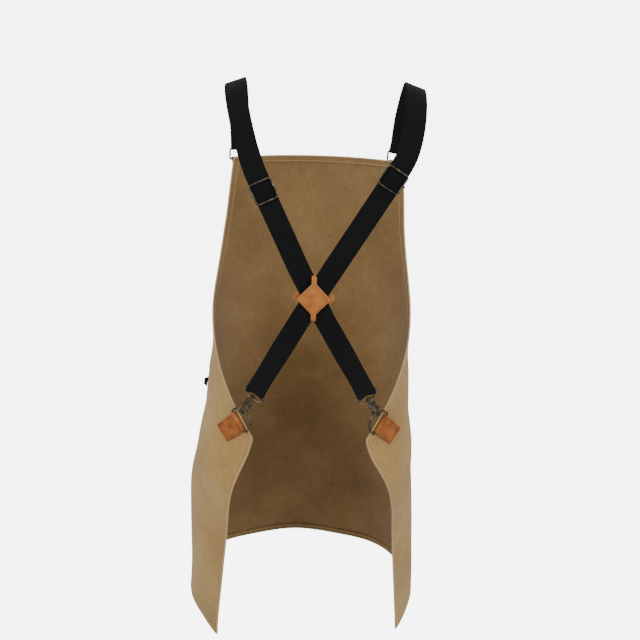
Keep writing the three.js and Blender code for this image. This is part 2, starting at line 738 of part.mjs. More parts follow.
// ---------------------------------------------------------------- cross patch

function diamond(halfWidth, halfHeight) {
  const shape = new THREE.Shape();
  const corners = [[halfWidth, 0], [0, halfHeight], [-halfWidth, 0], [0, -halfHeight]];
  corners.forEach(([x, y], index) => {
    const [nextX, nextY] = corners[(index + 1) % 4];
    const [lastX, lastY] = corners[(index + 3) % 4];
    const cut = patchCorner / Math.hypot(halfWidth, halfHeight);
    const from = [lerp(x, lastX, cut), lerp(y, lastY, cut)];
    const to = [lerp(x, nextX, cut), lerp(y, nextY, cut)];
    if (index === 0) shape.moveTo(...from);
    else shape.lineTo(...from);
    shape.quadraticCurveTo(x, y, ...to);
  });
  shape.closePath();
  return shape;
}

// The front diamond lies over both straps, and its two side corners come down to the back one.
function makePatch() {
  const cover = layerPitch / 2 + webThick / 2 + 2 * gap;
  const front = plate(diamond(patchFront.halfWidth, patchFront.halfHeight), patchFront.thick);
  front.translate(0, 0, cover + patchFront.thick / 2);
  const back = plate(diamond(patchBack.halfWidth, patchBack.halfHeight), patchBack.thick);
  back.translate(0, 0, -cover - patchBack.thick / 2);
  const footLength = 2 * cover - gap + patchFront.thick / 2;
  const foot = (sign) => {
    const post = new THREE.BoxGeometry(patchFoot.width, patchFoot.height, footLength);
    post.translate(
      sign * (patchFoot.inner + patchFoot.width / 2), 0, gap - cover + footLength / 2);
    return toSolid(post);
  };
  const solid = toSolid(front).add(foot(1)).add(foot(-1));
  const base = frameAt(crossing, new THREE.Vector3(-1, 0, 0), new THREE.Vector3(0, 0, 1));
  addMesh('cross_patch_front', toGeometry(solid), 'leather').applyMatrix4(base);
  addMesh('cross_patch_back', closed(back), 'leather').applyMatrix4(base);
}

// ---------------------------------------------------------------- side loop

function makeSideLoop() {
  const steps = 16;
  const box = new THREE.BoxGeometry(sideLoop.span, sideLoop.thick, sideLoop.width, steps, 1, 1);
  const seat = canvasThick / 2 + 0.5 + sideLoop.thick / 2;
  const geometry = mapped(box, ({ x, y, z }) => {
    const share = x / sideLoop.span;
    const rise = sideLoop.rise * Math.cos(Math.PI * clamp(share * 1.25, -0.5, 0.5)) ** 2;
    return clothAt(sideLoop.fromFront + x * 0.8, sideLoop.v + z, seat + rise + y);
  });
  addMesh('side_loop', geometry, 'webbing');
}

// ---------------------------------------------------------------- assembly

makePanel();
makeFacing('armhole_facing_left', 1);
makeFacing('armhole_facing_right', -1);
makePocket('chest_pocket', chestPocket, 8, 6);
makePocket('waist_pocket', waistPocket, 14, 6);
makePatch();
makeSideLoop();

const strapCentres = {};
for (const [name, route] of Object.entries(routes)) {
  strapCentres[name] = crossing.clone().setY(crossing.y - route.side * layerPitch / 2);
}
// Each strap crosses the back, so it ends at the snap on the other side.
const opposite = { left: 'right', right: 'left' };
for (const [name, route] of Object.entries(routes)) {
  const end = opposite[name];
  const chain = chainFor(-route.side, strapCentres[name]);
  makeBackTab(chain.side, end, chain);
  makeSnap(chain.side, end, chain);
  const corner = frontCorner(route.side);
  makeFrontCorner(name, corner);
  const path = strapRoute(route, chain, strapCentres[name], corner);
  const frames = strapFrames(path, route, chain.side, corner.across);
  makeStrap(name, frames, frames.sliderAt);
  makeSlider(name, frames.at(frames.sliderAt));
}

export default root;
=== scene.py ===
"""Looks of a cross-back work apron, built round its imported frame.

Every piece is in metres in the frame's own axes: +Z is up, the wearer faces -Y and the wearer's
left is +X. The origin is between the two straps where they lie on the shoulders.
"""

from __future__ import annotations

import json
import logging
import math
from dataclasses import dataclass
from enum import Enum
from typing import Callable, Iterable, Sequence

import bpy
import numpy as np
from mathutils import Matrix, Vector

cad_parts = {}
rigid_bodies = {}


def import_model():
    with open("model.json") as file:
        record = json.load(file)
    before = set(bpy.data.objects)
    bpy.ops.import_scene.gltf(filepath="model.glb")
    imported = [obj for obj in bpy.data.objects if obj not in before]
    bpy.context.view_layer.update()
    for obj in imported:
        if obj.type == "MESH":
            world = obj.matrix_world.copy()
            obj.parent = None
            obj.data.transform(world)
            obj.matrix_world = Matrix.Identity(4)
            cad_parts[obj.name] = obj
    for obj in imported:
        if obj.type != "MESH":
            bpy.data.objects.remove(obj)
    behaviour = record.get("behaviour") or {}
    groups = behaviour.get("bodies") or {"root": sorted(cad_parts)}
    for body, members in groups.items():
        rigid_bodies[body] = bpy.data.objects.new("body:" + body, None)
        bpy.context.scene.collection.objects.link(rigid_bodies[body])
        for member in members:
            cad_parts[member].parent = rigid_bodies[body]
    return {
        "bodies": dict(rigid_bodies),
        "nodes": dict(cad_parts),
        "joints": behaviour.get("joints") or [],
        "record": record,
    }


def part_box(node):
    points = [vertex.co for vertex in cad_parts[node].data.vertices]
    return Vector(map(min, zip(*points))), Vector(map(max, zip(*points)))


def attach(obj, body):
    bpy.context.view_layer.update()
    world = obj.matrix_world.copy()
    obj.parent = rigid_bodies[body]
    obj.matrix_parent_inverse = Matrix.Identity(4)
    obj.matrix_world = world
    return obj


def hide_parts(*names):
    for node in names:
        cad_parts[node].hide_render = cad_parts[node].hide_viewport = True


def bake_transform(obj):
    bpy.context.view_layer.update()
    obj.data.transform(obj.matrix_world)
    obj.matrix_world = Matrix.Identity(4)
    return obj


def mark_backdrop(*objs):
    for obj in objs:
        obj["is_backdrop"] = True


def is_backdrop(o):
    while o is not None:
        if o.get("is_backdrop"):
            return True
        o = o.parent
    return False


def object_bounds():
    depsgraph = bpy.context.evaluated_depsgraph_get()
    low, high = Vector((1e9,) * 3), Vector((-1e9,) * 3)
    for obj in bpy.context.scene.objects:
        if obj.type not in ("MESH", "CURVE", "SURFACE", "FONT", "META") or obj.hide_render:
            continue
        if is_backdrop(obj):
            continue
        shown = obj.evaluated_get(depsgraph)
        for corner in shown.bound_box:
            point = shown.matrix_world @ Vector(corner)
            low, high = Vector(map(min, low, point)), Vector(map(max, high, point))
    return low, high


logging.basicConfig(level=logging.INFO, format="%(message)s")
LOG = logging.getLogger("apron")

MM = 0.001
GAP = 0.3 * MM
MERGE_DISTANCE = 0.01 * MM
Surface = Callable[[np.ndarray, np.ndarray], np.ndarray]


class Side(Enum):
    """The wearer's left or right, with its sign along X."""

    LEFT = 1
    RIGHT = -1

    @property
    def word(self) -> str:
        """Gives the side's name as it stands in the node names."""
        return self.name.lower()

    @property
    def other(self) -> "Side":
        """Gives the opposite side."""
        return Side(-self.value)


# ------------------------------------------------------------------ scene helpers


def deselect_all() -> None:
    """Leaves nothing selected."""
    bpy.ops.object.select_all(action="DESELECT")


def activate(piece: bpy.types.Object) -> None:
    """Makes one object the selected and active one."""
    deselect_all()
    piece.select_set(True)
    bpy.context.view_layer.objects.active = piece


def apply_modifier(piece: bpy.types.Object, kind: str, **settings: object) -> None:
    """Adds a modifier to a piece and applies it.

    Args:
        piece: The object that is changed.
        kind: The modifier's type, such as "SOLIDIFY".
        **settings: The modifier's own settings.
    """
    activate(piece)
    modifier = piece.modifiers.new(kind.title(), kind)
    for key, value in settings.items():
        setattr(modifier, key, value)
    bpy.ops.object.modifier_apply(modifier=modifier.name)


def shade(piece: bpy.types.Object, degrees: float = 40.0) -> None:
    """Shades a piece smooth, with edges sharper than the angle left crisp."""
    activate(piece)
    bpy.ops.object.shade_smooth_by_angle(angle=math.radians(degrees))


def face_outward(piece: bpy.types.Object, merge: bool = True) -> None:
    """Turns a piece's faces outward, with its doubles merged first unless told not to."""
    activate(piece)
    bpy.ops.object.mode_set(mode="EDIT")
    bpy.ops.mesh.select_all(action="SELECT")
    if merge:
        bpy.ops.mesh.remove_doubles(threshold=MERGE_DISTANCE)
    bpy.ops.mesh.normals_make_consistent(inside=False)
    bpy.ops.object.mode_set(mode="OBJECT")


def join(pieces: Sequence[bpy.types.Object], name: str) -> bpy.types.Object:
    """Joins pieces into one object.

    Args:
        pieces: The objects, of which the first keeps its materials first.
        name: The joined object's name.

    Returns:
        The joined object.
    """
    deselect_all()
    for piece in pieces:
        piece.select_set(True)
    bpy.context.view_layer.objects.active = pieces[0]
    if len(pieces) > 1:
        bpy.ops.object.join()
    pieces[0].name = name
    pieces[0].data.name = name
    return pieces[0]


def dress(piece: bpy.types.Object, *materials: bpy.types.Material) -> None:
    """Gives a piece its materials in order."""
    piece.data.materials.clear()
    for material in materials:
        piece.data.materials.append(material)


def hand_over(piece: bpy.types.Object, body: str, slot: str, *nodes: str) -> None:
    """Attaches a piece to the body that it rides on and hides the CAD nodes that it stands for.

    Args:
        piece: The finished piece.
        body: The CAD body that it moves with.
        slot: The record's material slot; it is not used.
        *nodes: The CAD nodes that it replaces.
    """
    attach(piece, body)
    if nodes:
        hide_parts(*nodes)
    LOG.info("made %s on %s", piece.name, body)


def unit(vector: np.ndarray) -> np.ndarray:
    """Scales vectors to a length of one along their last axis."""
    return vector / np.maximum(np.linalg.norm(vector, axis=-1, keepdims=True), 1e-12)


def square_to(vector: np.ndarray, axis: np.ndarray) -> np.ndarray:
    """Gives the part of a vector that stands square to a unit axis, at a length of one."""
    along = np.sum(vector * axis, axis=-1, keepdims=True)
    return unit(vector - along * axis)


def repeated(direction: np.ndarray, count: int) -> np.ndarray:
    """Gives one direction for each of a number of places."""
    return np.repeat(direction[None, :], count, axis=0)


def distances(points: np.ndarray) -> np.ndarray:
    """Gives how far along the line through points each of them lies."""
    steps = np.linalg.norm(np.diff(points, axis=0), axis=1)
    return np.concatenate([[0], np.cumsum(steps)])


def on_line(points: np.ndarray, along: np.ndarray, spots: np.ndarray) -> np.ndarray:
    """Gives places on the line through points, at distances along it."""
    return np.column_stack([np.interp(spots, along, column) for column in points.T])


@dataclass(frozen=True)
class Axes:
    """A place and three unit directions that stand square to each other."""

    origin: np.ndarray
    x: np.ndarray
    y: np.ndarray
    z: np.ndarray

    @staticmethod
    def of(origin: Sequence[float], x: Sequence[float], y: Sequence[float]) -> "Axes":
        """Makes axes from an origin and two directions, of which y is squared to x."""
        along = unit(np.array(x, float))
        across = square_to(np.array(y, float), along)
        return Axes(np.array(origin, float), along, across, np.cross(along, across))

    def place(self, points: Iterable[Sequence[float]]) -> np.ndarray:
        """Gives points of these axes in the frame's axes."""
        local = np.array(list(points), float)
        return self.origin + local @ np.array([self.x, self.y, self.z])


def hinge_of(frame: dict, name: str) -> tuple[np.ndarray, np.ndarray]:
    """Finds a joint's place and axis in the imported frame.

    Args:
        name: The joint's name.

    Returns:
        The joint's point, or the middle of its body's box on a slide, and its unit axis.
    """
    joint = next(item for item in frame["joints"] if item["name"] == name)
    axis = unit(np.array(joint["axis"], float))
    if "pos_m" in joint:
        return np.array(joint["pos_m"], float), axis
    low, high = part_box(joint["child"])
    return (np.array(low) + np.array(high)) / 2, axis


# ------------------------------------------------------------------ mesh makers


def mesh_object(
    name: str,
    points: np.ndarray,
    faces: Sequence[Sequence[int]],
    uvs: np.ndarray | None = None,
) -> bpy.types.Object:
    """Makes an object from points and faces.

    Args:
        name: The object's name.
        points: The vertices, in metres.
        faces: Each face's vertex numbers.
        uvs: One pair for each vertex, in metres of cloth, or None.

    Returns:
        The new object.
    """
    mesh = bpy.data.meshes.new(name)
    mesh.from_pydata(points.tolist(), [], [list(face) for face in faces])
    if uvs is not None:
        layer = mesh.uv_layers.new(name="cloth")
        loops = np.empty(len(mesh.loops), dtype=np.int64)
        mesh.loops.foreach_get("vertex_index", loops)
        layer.data.foreach_set("uv", uvs[loops].astype(np.float32).ravel())
    mesh.update()
    piece = bpy.data.objects.new(name, mesh)
    bpy.context.scene.collection.objects.link(piece)
    return piece


def grid_faces(rows: int, columns: int, closed: bool = False) -> list[list[int]]:
    """Gives the quads of a grid of vertices that is stored row by row.

    Args:
        rows: The number of rows of vertices.
        columns: The number of vertices in a row.
        closed: Whether each row's last vertex joins its first.

    Returns:
        The faces.
    """
    faces = []
    span = columns if closed else columns - 1
    for row in range(rows - 1):
        for column in range(span):
            after = (column + 1) % columns
            low, high = row * columns, (row + 1) * columns
            faces.append([low + column, low + after, high + after, high + column])
    return faces


def tube_faces(rows: int, columns: int) -> list[list[int]]:
    """Gives the faces of a tube that is stored ring by ring, with a cap at each end."""
    last = (rows - 1) * columns
    caps = [list(range(columns))[::-1], [last + k for k in range(columns)]]
    return grid_faces(rows, columns, closed=True) + caps


def sheet_object(name: str, surface: Surface, u: np.ndarray, v: np.ndarray) -> bpy.types.Object:
    """Makes an open sheet over a grid of flat places.

    Args:
        name: The object's name.
        surface: Gives the points of the cloth for arrays of u and v.
        u: The flat places across, as an array of rows.
        v: The flat places down, of the same shape.

    Returns:
        The sheet, with its flat places as its UV map.
    """
    points = surface(u.ravel(), v.ravel())
    uvs = np.column_stack([u.ravel(), v.ravel()])
    return mesh_object(name, points, grid_faces(*u.shape), uvs)


def wire(
    name: str, points: np.ndarray, radius: float, closed: bool, sides: int = 4
) -> bpy.types.Object:
    """Makes a round wire along points.

    Args:
        name: The object's name.
        points: The wire's middle line.
        radius: Half its diameter.
        closed: Whether it joins up.
        sides: A quarter of the number of sides of its section.

    Returns:
        The wire as a mesh.
    """
    curve = bpy.data.curves.new(name, "CURVE")
    curve.dimensions = "3D"
    curve.bevel_depth = radius
    curve.bevel_resolution = sides
    curve.use_fill_caps = not closed
    spline = curve.splines.new("POLY")
    spline.points.add(len(points) - 1)
    spline.points.foreach_set("co", np.column_stack([points, np.ones(len(points))]).ravel())
    spline.use_cyclic_u = closed
    piece = bpy.data.objects.new(name, curve)
    bpy.context.scene.collection.objects.link(piece)
    activate(piece)
    bpy.ops.object.convert(target="MESH")
    face_outward(piece)
    shade(piece, degrees=60)
    return piece


def arc(
    centre: tuple[float, float], radius: float, start: float, end: float, count: int = 10
) -> list[tuple[float, float]]:
    """Gives points on a flat arc, with its angles in radians."""
    angles = np.linspace(start, end, count)
    return [(centre[0] + radius * math.cos(a), centre[1] + radius * math.sin(a)) for a in angles]


def rounded_rectangle(width: float, height: float, corner: float) -> list[tuple[float, float]]:
    """Gives a rectangle's outline with round corners, as flat points."""
    x, y = width / 2 - corner, height / 2 - corner
    quarter = math.pi / 2
    points: list[tuple[float, float]] = []
    for turn, (cx, cy) in enumerate([(x, y), (-x, y), (-x, -y), (x, -y)]):
        points += arc((cx, cy), corner, turn * quarter, (turn + 1) * quarter, 7)
    return points


def resample(points: np.ndarray, step: float, closed: bool = False) -> np.ndarray:
    """Spaces points evenly along the line through them, about one step apart."""
    if closed:
        points = np.vstack([points, points[:1]])
    lengths = distances(points)
    count = max(2, int(round(lengths[-1] / step)) + 1)
    spots = np.linspace(0, lengths[-1], count)
    if closed:
        spots = spots[:-1]
    return on_line(points, lengths, spots)


def ribbon(
    name: str,
    centres: np.ndarray,
    across: np.ndarray,
    out: np.ndarray,
    width: float,
    thick: float,
    edge: float,
) -> bpy.types.Object:
    """Makes a flat strip with rounded edges along a line.

    Args:
        name: The object's name.
        centres: The middle of each section.
        across: The unit direction of the width at each section.
        out: The unit direction that stands off the strip's face at each section.
        width: The strip's width.
        thick: Its thickness.
        edge: How far in from its edges the rounding starts.

    Returns:
        The closed strip, with metres across and along as its UV map.
    """
    half, deep = width / 2, thick / 2
    inner = np.linspace(-half + edge, half - edge, 7)
    top = [(x, deep) for x in inner[::-1]]
    bottom = [(x, -deep) for x in inner]
    right = [(half - 0.3 * edge, -0.6 * deep), (half, 0.0), (half - 0.3 * edge, 0.6 * deep)]
    left = [(-half + 0.3 * edge, 0.6 * deep), (-half, 0.0), (-half + 0.3 * edge, -0.6 * deep)]
    section = np.array(bottom + right + top + left)
    points = (
        centres[:, None, :]
        + section[None, :, :1] * across[:, None, :]
        + section[None, :, 1:] * out[:, None, :]
    )
    rows, columns = points.shape[:2]
    along = distances(centres)
    uvs = np.stack(np.broadcast_arrays(section[None, :, 0], along[:, None]), axis=-1)
    points, uvs = points.reshape(-1, 3), uvs.reshape(-1, 2)
    piece = mesh_object(name, points, tube_faces(rows, columns), uvs)
    face_outward(piece, merge=False)
    shade(piece, degrees=50)
    return piece


@dataclass(frozen=True)
class StitchRow:
    """A row of sewn stitches: how long each is, how far apart and how thick the thread is.

    Each stitch is a small tube that narrows to its ends: its stations are shares of its length
    from the middle and shares of the thread's thickness.
    """

    pitch: float = 3.6 * MM
    length: float = 2.7 * MM
    thick: float = 0.75 * MM
    flatness: float = 0.8
    sides: int = 6
    stations: tuple[tuple[float, float], ...] = (
        (-0.5, 0.25), (-0.32, 0.85), (0.0, 1.0), (0.32, 0.85), (0.5, 0.25),
    )

    def sew(
        self,
        name: str,
        lines: Sequence[tuple[np.ndarray, np.ndarray]],
        thread: bpy.types.Material,
        slot: str,
    ) -> None:
        """Lays stitches along lines and hands them over on the apron.

        Args:
            name: The name of the object that holds all the stitches.
            lines: For each line its points and the unit direction off the cloth at each.
            thread: The thread's material.
            slot: The material slot of the piece that is sewn.
        """
        points: list[np.ndarray] = []
        faces: list[list[int]] = []
        tube = tube_faces(len(self.stations), self.sides)
        for line, off in lines:
            spots = resample(np.hstack([line, off]), self.pitch)
            middle, normal = spots[:, :3], unit(spots[:, 3:])
            along = unit(np.gradient(middle, axis=0))
            beside = unit(np.cross(normal, along))
            for centre, t, n, b in zip(middle, along, normal, beside):
                start = len(points) * self.sides * len(self.stations)
                points.append(self._stitch(centre, t, n, b))
                faces += [[start + index for index in face] for face in tube]
        seams = mesh_object(name, np.vstack(points), faces)
        shade(seams, degrees=80)
        dress(seams, thread)
        hand_over(seams, "apron", slot)

    def _stitch(
        self, centre: np.ndarray, along: np.ndarray, off: np.ndarray, beside: np.ndarray
    ) -> np.ndarray:
        """Gives the vertices of one stitch, ring by ring."""
        ring = []
        for share, swell in self.stations:
            radius = self.thick / 2 * swell
            for k in range(self.sides):
                angle = 2 * math.pi * k / self.sides
                bulge = math.cos(angle) * beside + self.flatness * math.sin(angle) * off
                ring.append(centre + along * share * self.length + radius * bulge)
        return np.array(ring)


# ------------------------------------------------------------------ finishes


def srgb(code: str) -> tuple[float, float, float, float]:
    """Turns an sRGB hex colour into the linear colour that shaders take."""
    values = [int(code[k : k + 2], 16) / 255 for k in (1, 3, 5)]
    linear = [c / 12.92 if c <= 0.04045 else ((c + 0.055) / 1.055) ** 2.4 for c in values]
    return (linear[0], linear[1], linear[2], 1.0)


class Shader:
    """A material's node tree, with its Principled shader ready to take links."""

    def __init__(self, name: str) -> None:
        """Starts a material of the given name."""
        self.material = bpy.data.materials.new(name)
        self.material.use_nodes = True
        self.tree = self.material.node_tree
        self.surface = self.tree.nodes["Principled BSDF"]

    def add(self, kind: str, links: dict | None = None, **settings: object) -> bpy.types.Node:
        """Adds one node.

        Args:
            kind: The node's type, without its ShaderNode prefix.
            links: For each input, by name or number, a value or an output socket.
            **settings: The node's own properties.

        Returns:
            The new node.
        """
        node = self.tree.nodes.new("ShaderNode" + kind)
        for key, value in settings.items():
            setattr(node, key, value)
        for socket, value in (links or {}).items():
            self.feed(node.inputs[socket], value)
        return node

    def feed(self, socket: bpy.types.NodeSocket, value: object) -> None:
        """Links an output to a socket, or sets the socket's own value."""
        if isinstance(value, bpy.types.NodeSocket):
            self.tree.links.new(value, socket)
        else:
            socket.default_value = value

    def set(self, **values: object) -> None:
        """Sets or links the shader's inputs, with underscores for spaces in their names."""
        for key, value in values.items():
            self.feed(self.surface.inputs[key.replace("_", " ")], value)

    def ramp(self, factor: object, stops: Sequence[tuple[float, str]]) -> bpy.types.NodeSocket:
        """Adds a colour ramp over a factor and gives its colour."""
        node = self.add("ValToRGB", {"Fac": factor})
        elements = node.color_ramp.elements
        while len(elements) < len(stops):
            elements.new(0.5)
        for element, (place, code) in zip(elements, stops):
            element.position = place
            element.color = srgb(code)
        return node.outputs["Color"]

    def blend(self, factor: object, one: object, two: object, how: str = "MIX") -> bpy.types.NodeSocket:
        """Mixes two colours and gives the result."""
        node = self.add("Mix", data_type="RGBA", blend_type=how)
        for socket, value in zip((node.inputs[0], node.inputs[6], node.inputs[7]), (factor, one, two)):
            self.feed(socket, value)
        return node.outputs[2]

    def bump(self, height: object, strength: float, depth: float, under: object = None) -> object:
        """Adds a bump of a depth in metres, on top of another bump if one is given."""
        links = {"Height": height, "Strength": strength, "Distance": depth}
        if under is not None:
            links["Normal"] = under
        return self.add("Bump", links).outputs["Normal"]

    def noise(self, vector: object, cell: float, detail: float = 2.0) -> bpy.types.NodeSocket:
        """Adds noise whose cells have the given size in metres and gives its value."""
        links = {"Vector": vector, "Scale": 1 / cell, "Detail": detail, "Roughness": 0.55}
        return self.add("TexNoise", links).outputs["Fac"]

    def stretched(self, vector: object, scale: Sequence[float]) -> bpy.types.NodeSocket:
        """Stretches a pattern's coordinates."""
        return self.add("Mapping", {"Vector": vector, "Scale": tuple(scale)}).outputs["Vector"]

    def wave(self, vector: object, spacing: float, direction: str) -> bpy.types.NodeSocket:
        """Adds straight ridges a spacing apart, in metres, across a direction."""
        # A wave texture has 20 radians, or 3.183 ridges, for each unit at a scale of one.
        links = {"Vector": vector, "Scale": 1 / (spacing * 3.183), "Distortion": 0.0}
        node = self.add("TexWave", links, wave_type="BANDS", bands_direction=direction)
        return node.outputs["Fac"]

    def uv(self) -> bpy.types.NodeSocket:
        """Gives the piece's own UV map, in metres of cloth or leather."""
        return self.add("UVMap", uv_map="cloth").outputs["UV"]

    def place(self) -> bpy.types.NodeSocket:
        """Gives the object coordinates."""
        return self.add("TexCoord").outputs["Object"]


@dataclass(frozen=True)
class CottonCanvas:
    """Heavy plain-woven cotton duck: matt, with thick threads, slubs and a soft washed tone."""

    name: str = "cotton_canvas"
    light: str = "#CBA866"
    middle: str = "#B58F50"
    dark: str = "#9A763C"
    # Real duck has about 0.9 mm between threads; it is drawn coarser so that it shows.
    thread: float = 1.5 * MM

    def material(self) -> bpy.types.Material:
        """Makes the material."""
        shader = Shader(self.name)
        uv = shader.uv()
        warp = shader.wave(uv, self.thread, "X")
        weft = shader.wave(uv, self.thread * 1.1, "Y")
        slub_across = shader.noise(shader.stretched(uv, (0.09, 1.0, 1.0)), 1.6 * MM, 3)
        slub_down = shader.noise(shader.stretched(uv, (1.0, 0.07, 1.0)), 1.5 * MM, 3)
        slubs = shader.add("Math", {0: slub_across, 1: slub_down}, operation="ADD").outputs[0]
        slubs = shader.add("Math", {0: slubs, 1: 0.5}, operation="MULTIPLY").outputs[0]
        washed = shader.noise(uv, 90 * MM, 4)
        tone = shader.ramp(washed, [(0.3, self.dark), (0.5, self.middle), (0.72, self.light)])
        threads = shader.ramp(slubs, [(0.32, self.dark), (0.5, self.middle), (0.66, self.light)])
        colour = shader.blend(0.5, tone, threads)
        weave = shader.blend(0.5, warp, weft, "ADD")
        # Painted shade: the dips between the threads are darkened in the colour.
        weave_dip_shade = shader.ramp(weave, [(0.1, "#D8D2C8"), (0.8, "#FFFFFF")])
        colour = shader.blend(0.55, colour, weave_dip_shade, "MULTIPLY")
        soft = shader.bump(shader.noise(uv, 28 * MM, 3), 0.35, 1.2 * MM)
        slubby = shader.bump(slubs, 0.5, 0.35 * MM, soft)
        shader.set(
            Base_Color=colour, Roughness=0.92, Specular_IOR_Level=0.2, Sheen_Weight=0.25,
            Sheen_Roughness=0.6, Normal=shader.bump(weave, 0.5, 0.3 * MM, slubby),
        )
        return shader.material


@dataclass(frozen=True)
class CottonWebbing:
    """Black woven cotton webbing: nearly matt, with lengthwise ribs and fine cross ribs."""

    name: str = "cotton_webbing"
    face: str = "#0C0D10"
    # The valleys between the ribs are darker: painted shade.
    valley: str = "#040405"
    rib: float = 1.9 * MM
    pick: float = 1.1 * MM

    def material(self) -> bpy.types.Material:
        """Makes the material."""
        shader = Shader(self.name)
        uv = shader.uv()
        ribs = shader.wave(uv, self.rib, "X")
        picks = shader.wave(uv, self.pick, "Y")
        woven = shader.blend(0.45, ribs, picks, "MULTIPLY")
        # Painted shade: the colour darkens from the rib faces into the valleys.
        colour = shader.ramp(woven, [(0.15, self.valley), (0.85, self.face)])
        lint = shader.noise(uv, 0.9 * MM, 2)
        worn = shader.ramp(lint, [(0.62, "#000000"), (0.85, "#101114")])
        colour = shader.blend(0.6, colour, worn, "ADD")
        under = shader.bump(ribs, 0.7, 0.45 * MM)
        shader.set(
            Base_Color=colour, Roughness=0.82, Specular_IOR_Level=0.22, Sheen_Weight=0.02,
            Sheen_Roughness=0.5, Normal=shader.bump(picks, 0.6, 0.3 * MM, under),
        )
        return shader.material


@dataclass(frozen=True)
class TannedLeather:
    """Vegetable-tanned cowhide: warm tan, softly glossy, with pores and darker handled spots."""

    name: str = "tanned_leather"
    light: str = "#C2772E"
    middle: str = "#AA601B"
    dark: str = "#88460E"
    pore: float = 1.3 * MM

    def material(self) -> bpy.types.Material:
        """Makes the material."""
        shader = Shader(self.name)
        spot = shader.place()
        cloudy = shader.noise(spot, 14 * MM, 4)
        colour = shader.ramp(cloudy, [(0.3, self.dark), (0.5, self.middle), (0.75, self.light)])
        pores = shader.add(
            "TexVoronoi", {"Vector": spot, "Scale": 1 / self.pore}, feature="DISTANCE_TO_EDGE"
        ).outputs["Distance"]
        # Painted shade: the colour darkens along the pores and creases of the grain.
        pore_shade = shader.ramp(pores, [(0.0, "#B9A48E"), (0.12, "#FFFFFF")])
        colour = shader.blend(0.5, colour, pore_shade, "MULTIPLY")
        rough = shader.add(
            "MapRange", {"Value": cloudy, "To Min": 0.3, "To Max": 0.46}
        ).outputs["Result"]
        grain = shader.bump(pores, 0.35, 0.12 * MM, shader.bump(cloudy, 0.2, 0.5 * MM))
        shader.set(Base_Color=colour, Roughness=rough, Specular_IOR_Level=0.45, Normal=grain)
        return shader.material


@dataclass(frozen=True)
class CutLeatherEdge:
    """The fibrous cut edge of tanned leather: paler or burnished, and dull."""

    name: str = "cut_leather_edge"
    light: str = "#B07A45"
    dark: str = "#6E3C18"

    def material(self) -> bpy.types.Material:
        """Makes the material."""
        shader = Shader(self.name)
        fibres = shader.noise(shader.place(), 0.7 * MM, 3)
        colour = shader.ramp(fibres, [(0.35, self.dark), (0.65, self.light)])
        shader.set(
            Base_Color=colour, Roughness=0.85, Normal=shader.bump(fibres, 0.5, 0.2 * MM)
        )
        return shader.material


@dataclass(frozen=True)
class AntiqueBrass:
    """Cast and drawn brass with dark antique plating that is rubbed brighter where it wears."""

    name: str = "antique_brass"
    dark: str = "#3B362E"
    middle: str = "#6A6152"
    rubbed: str = "#A39680"

    def material(self) -> bpy.types.Material:
        """Makes the material."""
        shader = Shader(self.name)
        spot = shader.place()
        patina = shader.noise(spot, 7 * MM, 3)
        colour = shader.ramp(patina, [(0.3, self.dark), (0.52, self.middle), (0.75, self.rubbed)])
        rough = shader.add(
            "MapRange", {"Value": patina, "To Min": 0.5, "To Max": 0.28}
        ).outputs["Result"]
        pits = shader.bump(shader.noise(spot, 0.6 * MM, 2), 0.15, 0.08 * MM)
        shader.set(Base_Color=colour, Metallic=1.0, Roughness=rough, Normal=pits)
        return shader.material


@dataclass(frozen=True)
class SewingThread:
    """Twisted polyester thread with a faint sheen."""

    name: str
    light: str
    dark: str

    def material(self) -> bpy.types.Material:
        """Makes the material."""
        shader = Shader(self.name)
        twist = shader.noise(shader.place(), 0.5 * MM, 2)
        colour = shader.ramp(twist, [(0.35, self.dark), (0.65, self.light)])
        shader.set(Base_Color=colour, Roughness=0.6, Normal=shader.bump(twist, 0.4, 0.1 * MM))
        return shader.material


@dataclass(frozen=True)
class StudioPaper:
    """Seamless white paper, lit so evenly that it shows no shade of its own."""

    name: str = "studio_paper"
    tone: str = "#F8F8F8"
    glow: float = 6.0

    def material(self) -> bpy.types.Material:
        """Makes the material."""
        shader = Shader(self.name)
        shader.set(
            Base_Color=srgb(self.tone), Roughness=0.95, Specular_IOR_Level=0.1,
            Emission_Color=srgb(self.tone), Emission_Strength=self.glow,
        )
        return shader.material


class Wardrobe:
    """All the finishes, each made once."""

    def __init__(self) -> None:
        """Makes every material."""
        self.canvas = CottonCanvas().material()
        # A paler copy of the canvas for the rolled edge: a painted highlight along the edge.
        self.rolled = CottonCanvas("rolled_canvas_edge", "#E6CC9C", "#D6B684", "#C39F6B").material()
        # A darker copy of the canvas: painted shade for the inside of the panel, its hems and its
        # facings.
        self.lining = CottonCanvas("canvas_inside", "#A98A5C", "#937243", "#7A5C34").material()
        self.webbing = CottonWebbing().material()
        self.leather = TannedLeather().material()
        self.patch = TannedLeather("patch_leather", "#D28E48", "#C67A33", "#B06624").material()
        self.cut_edge = CutLeatherEdge().material()
        self.brass = AntiqueBrass().material()
        self.tan_thread = SewingThread("tan_thread", "#D9C193", "#B3955F").material()
        self.black_thread = SewingThread("black_thread", "#1C1D20", "#0B0B0D").material()
        self.orange_thread = SewingThread("orange_thread", "#8C4A18", "#5E2E0C").material()
        self.paper = StudioPaper().material()


# ------------------------------------------------------------------ studio


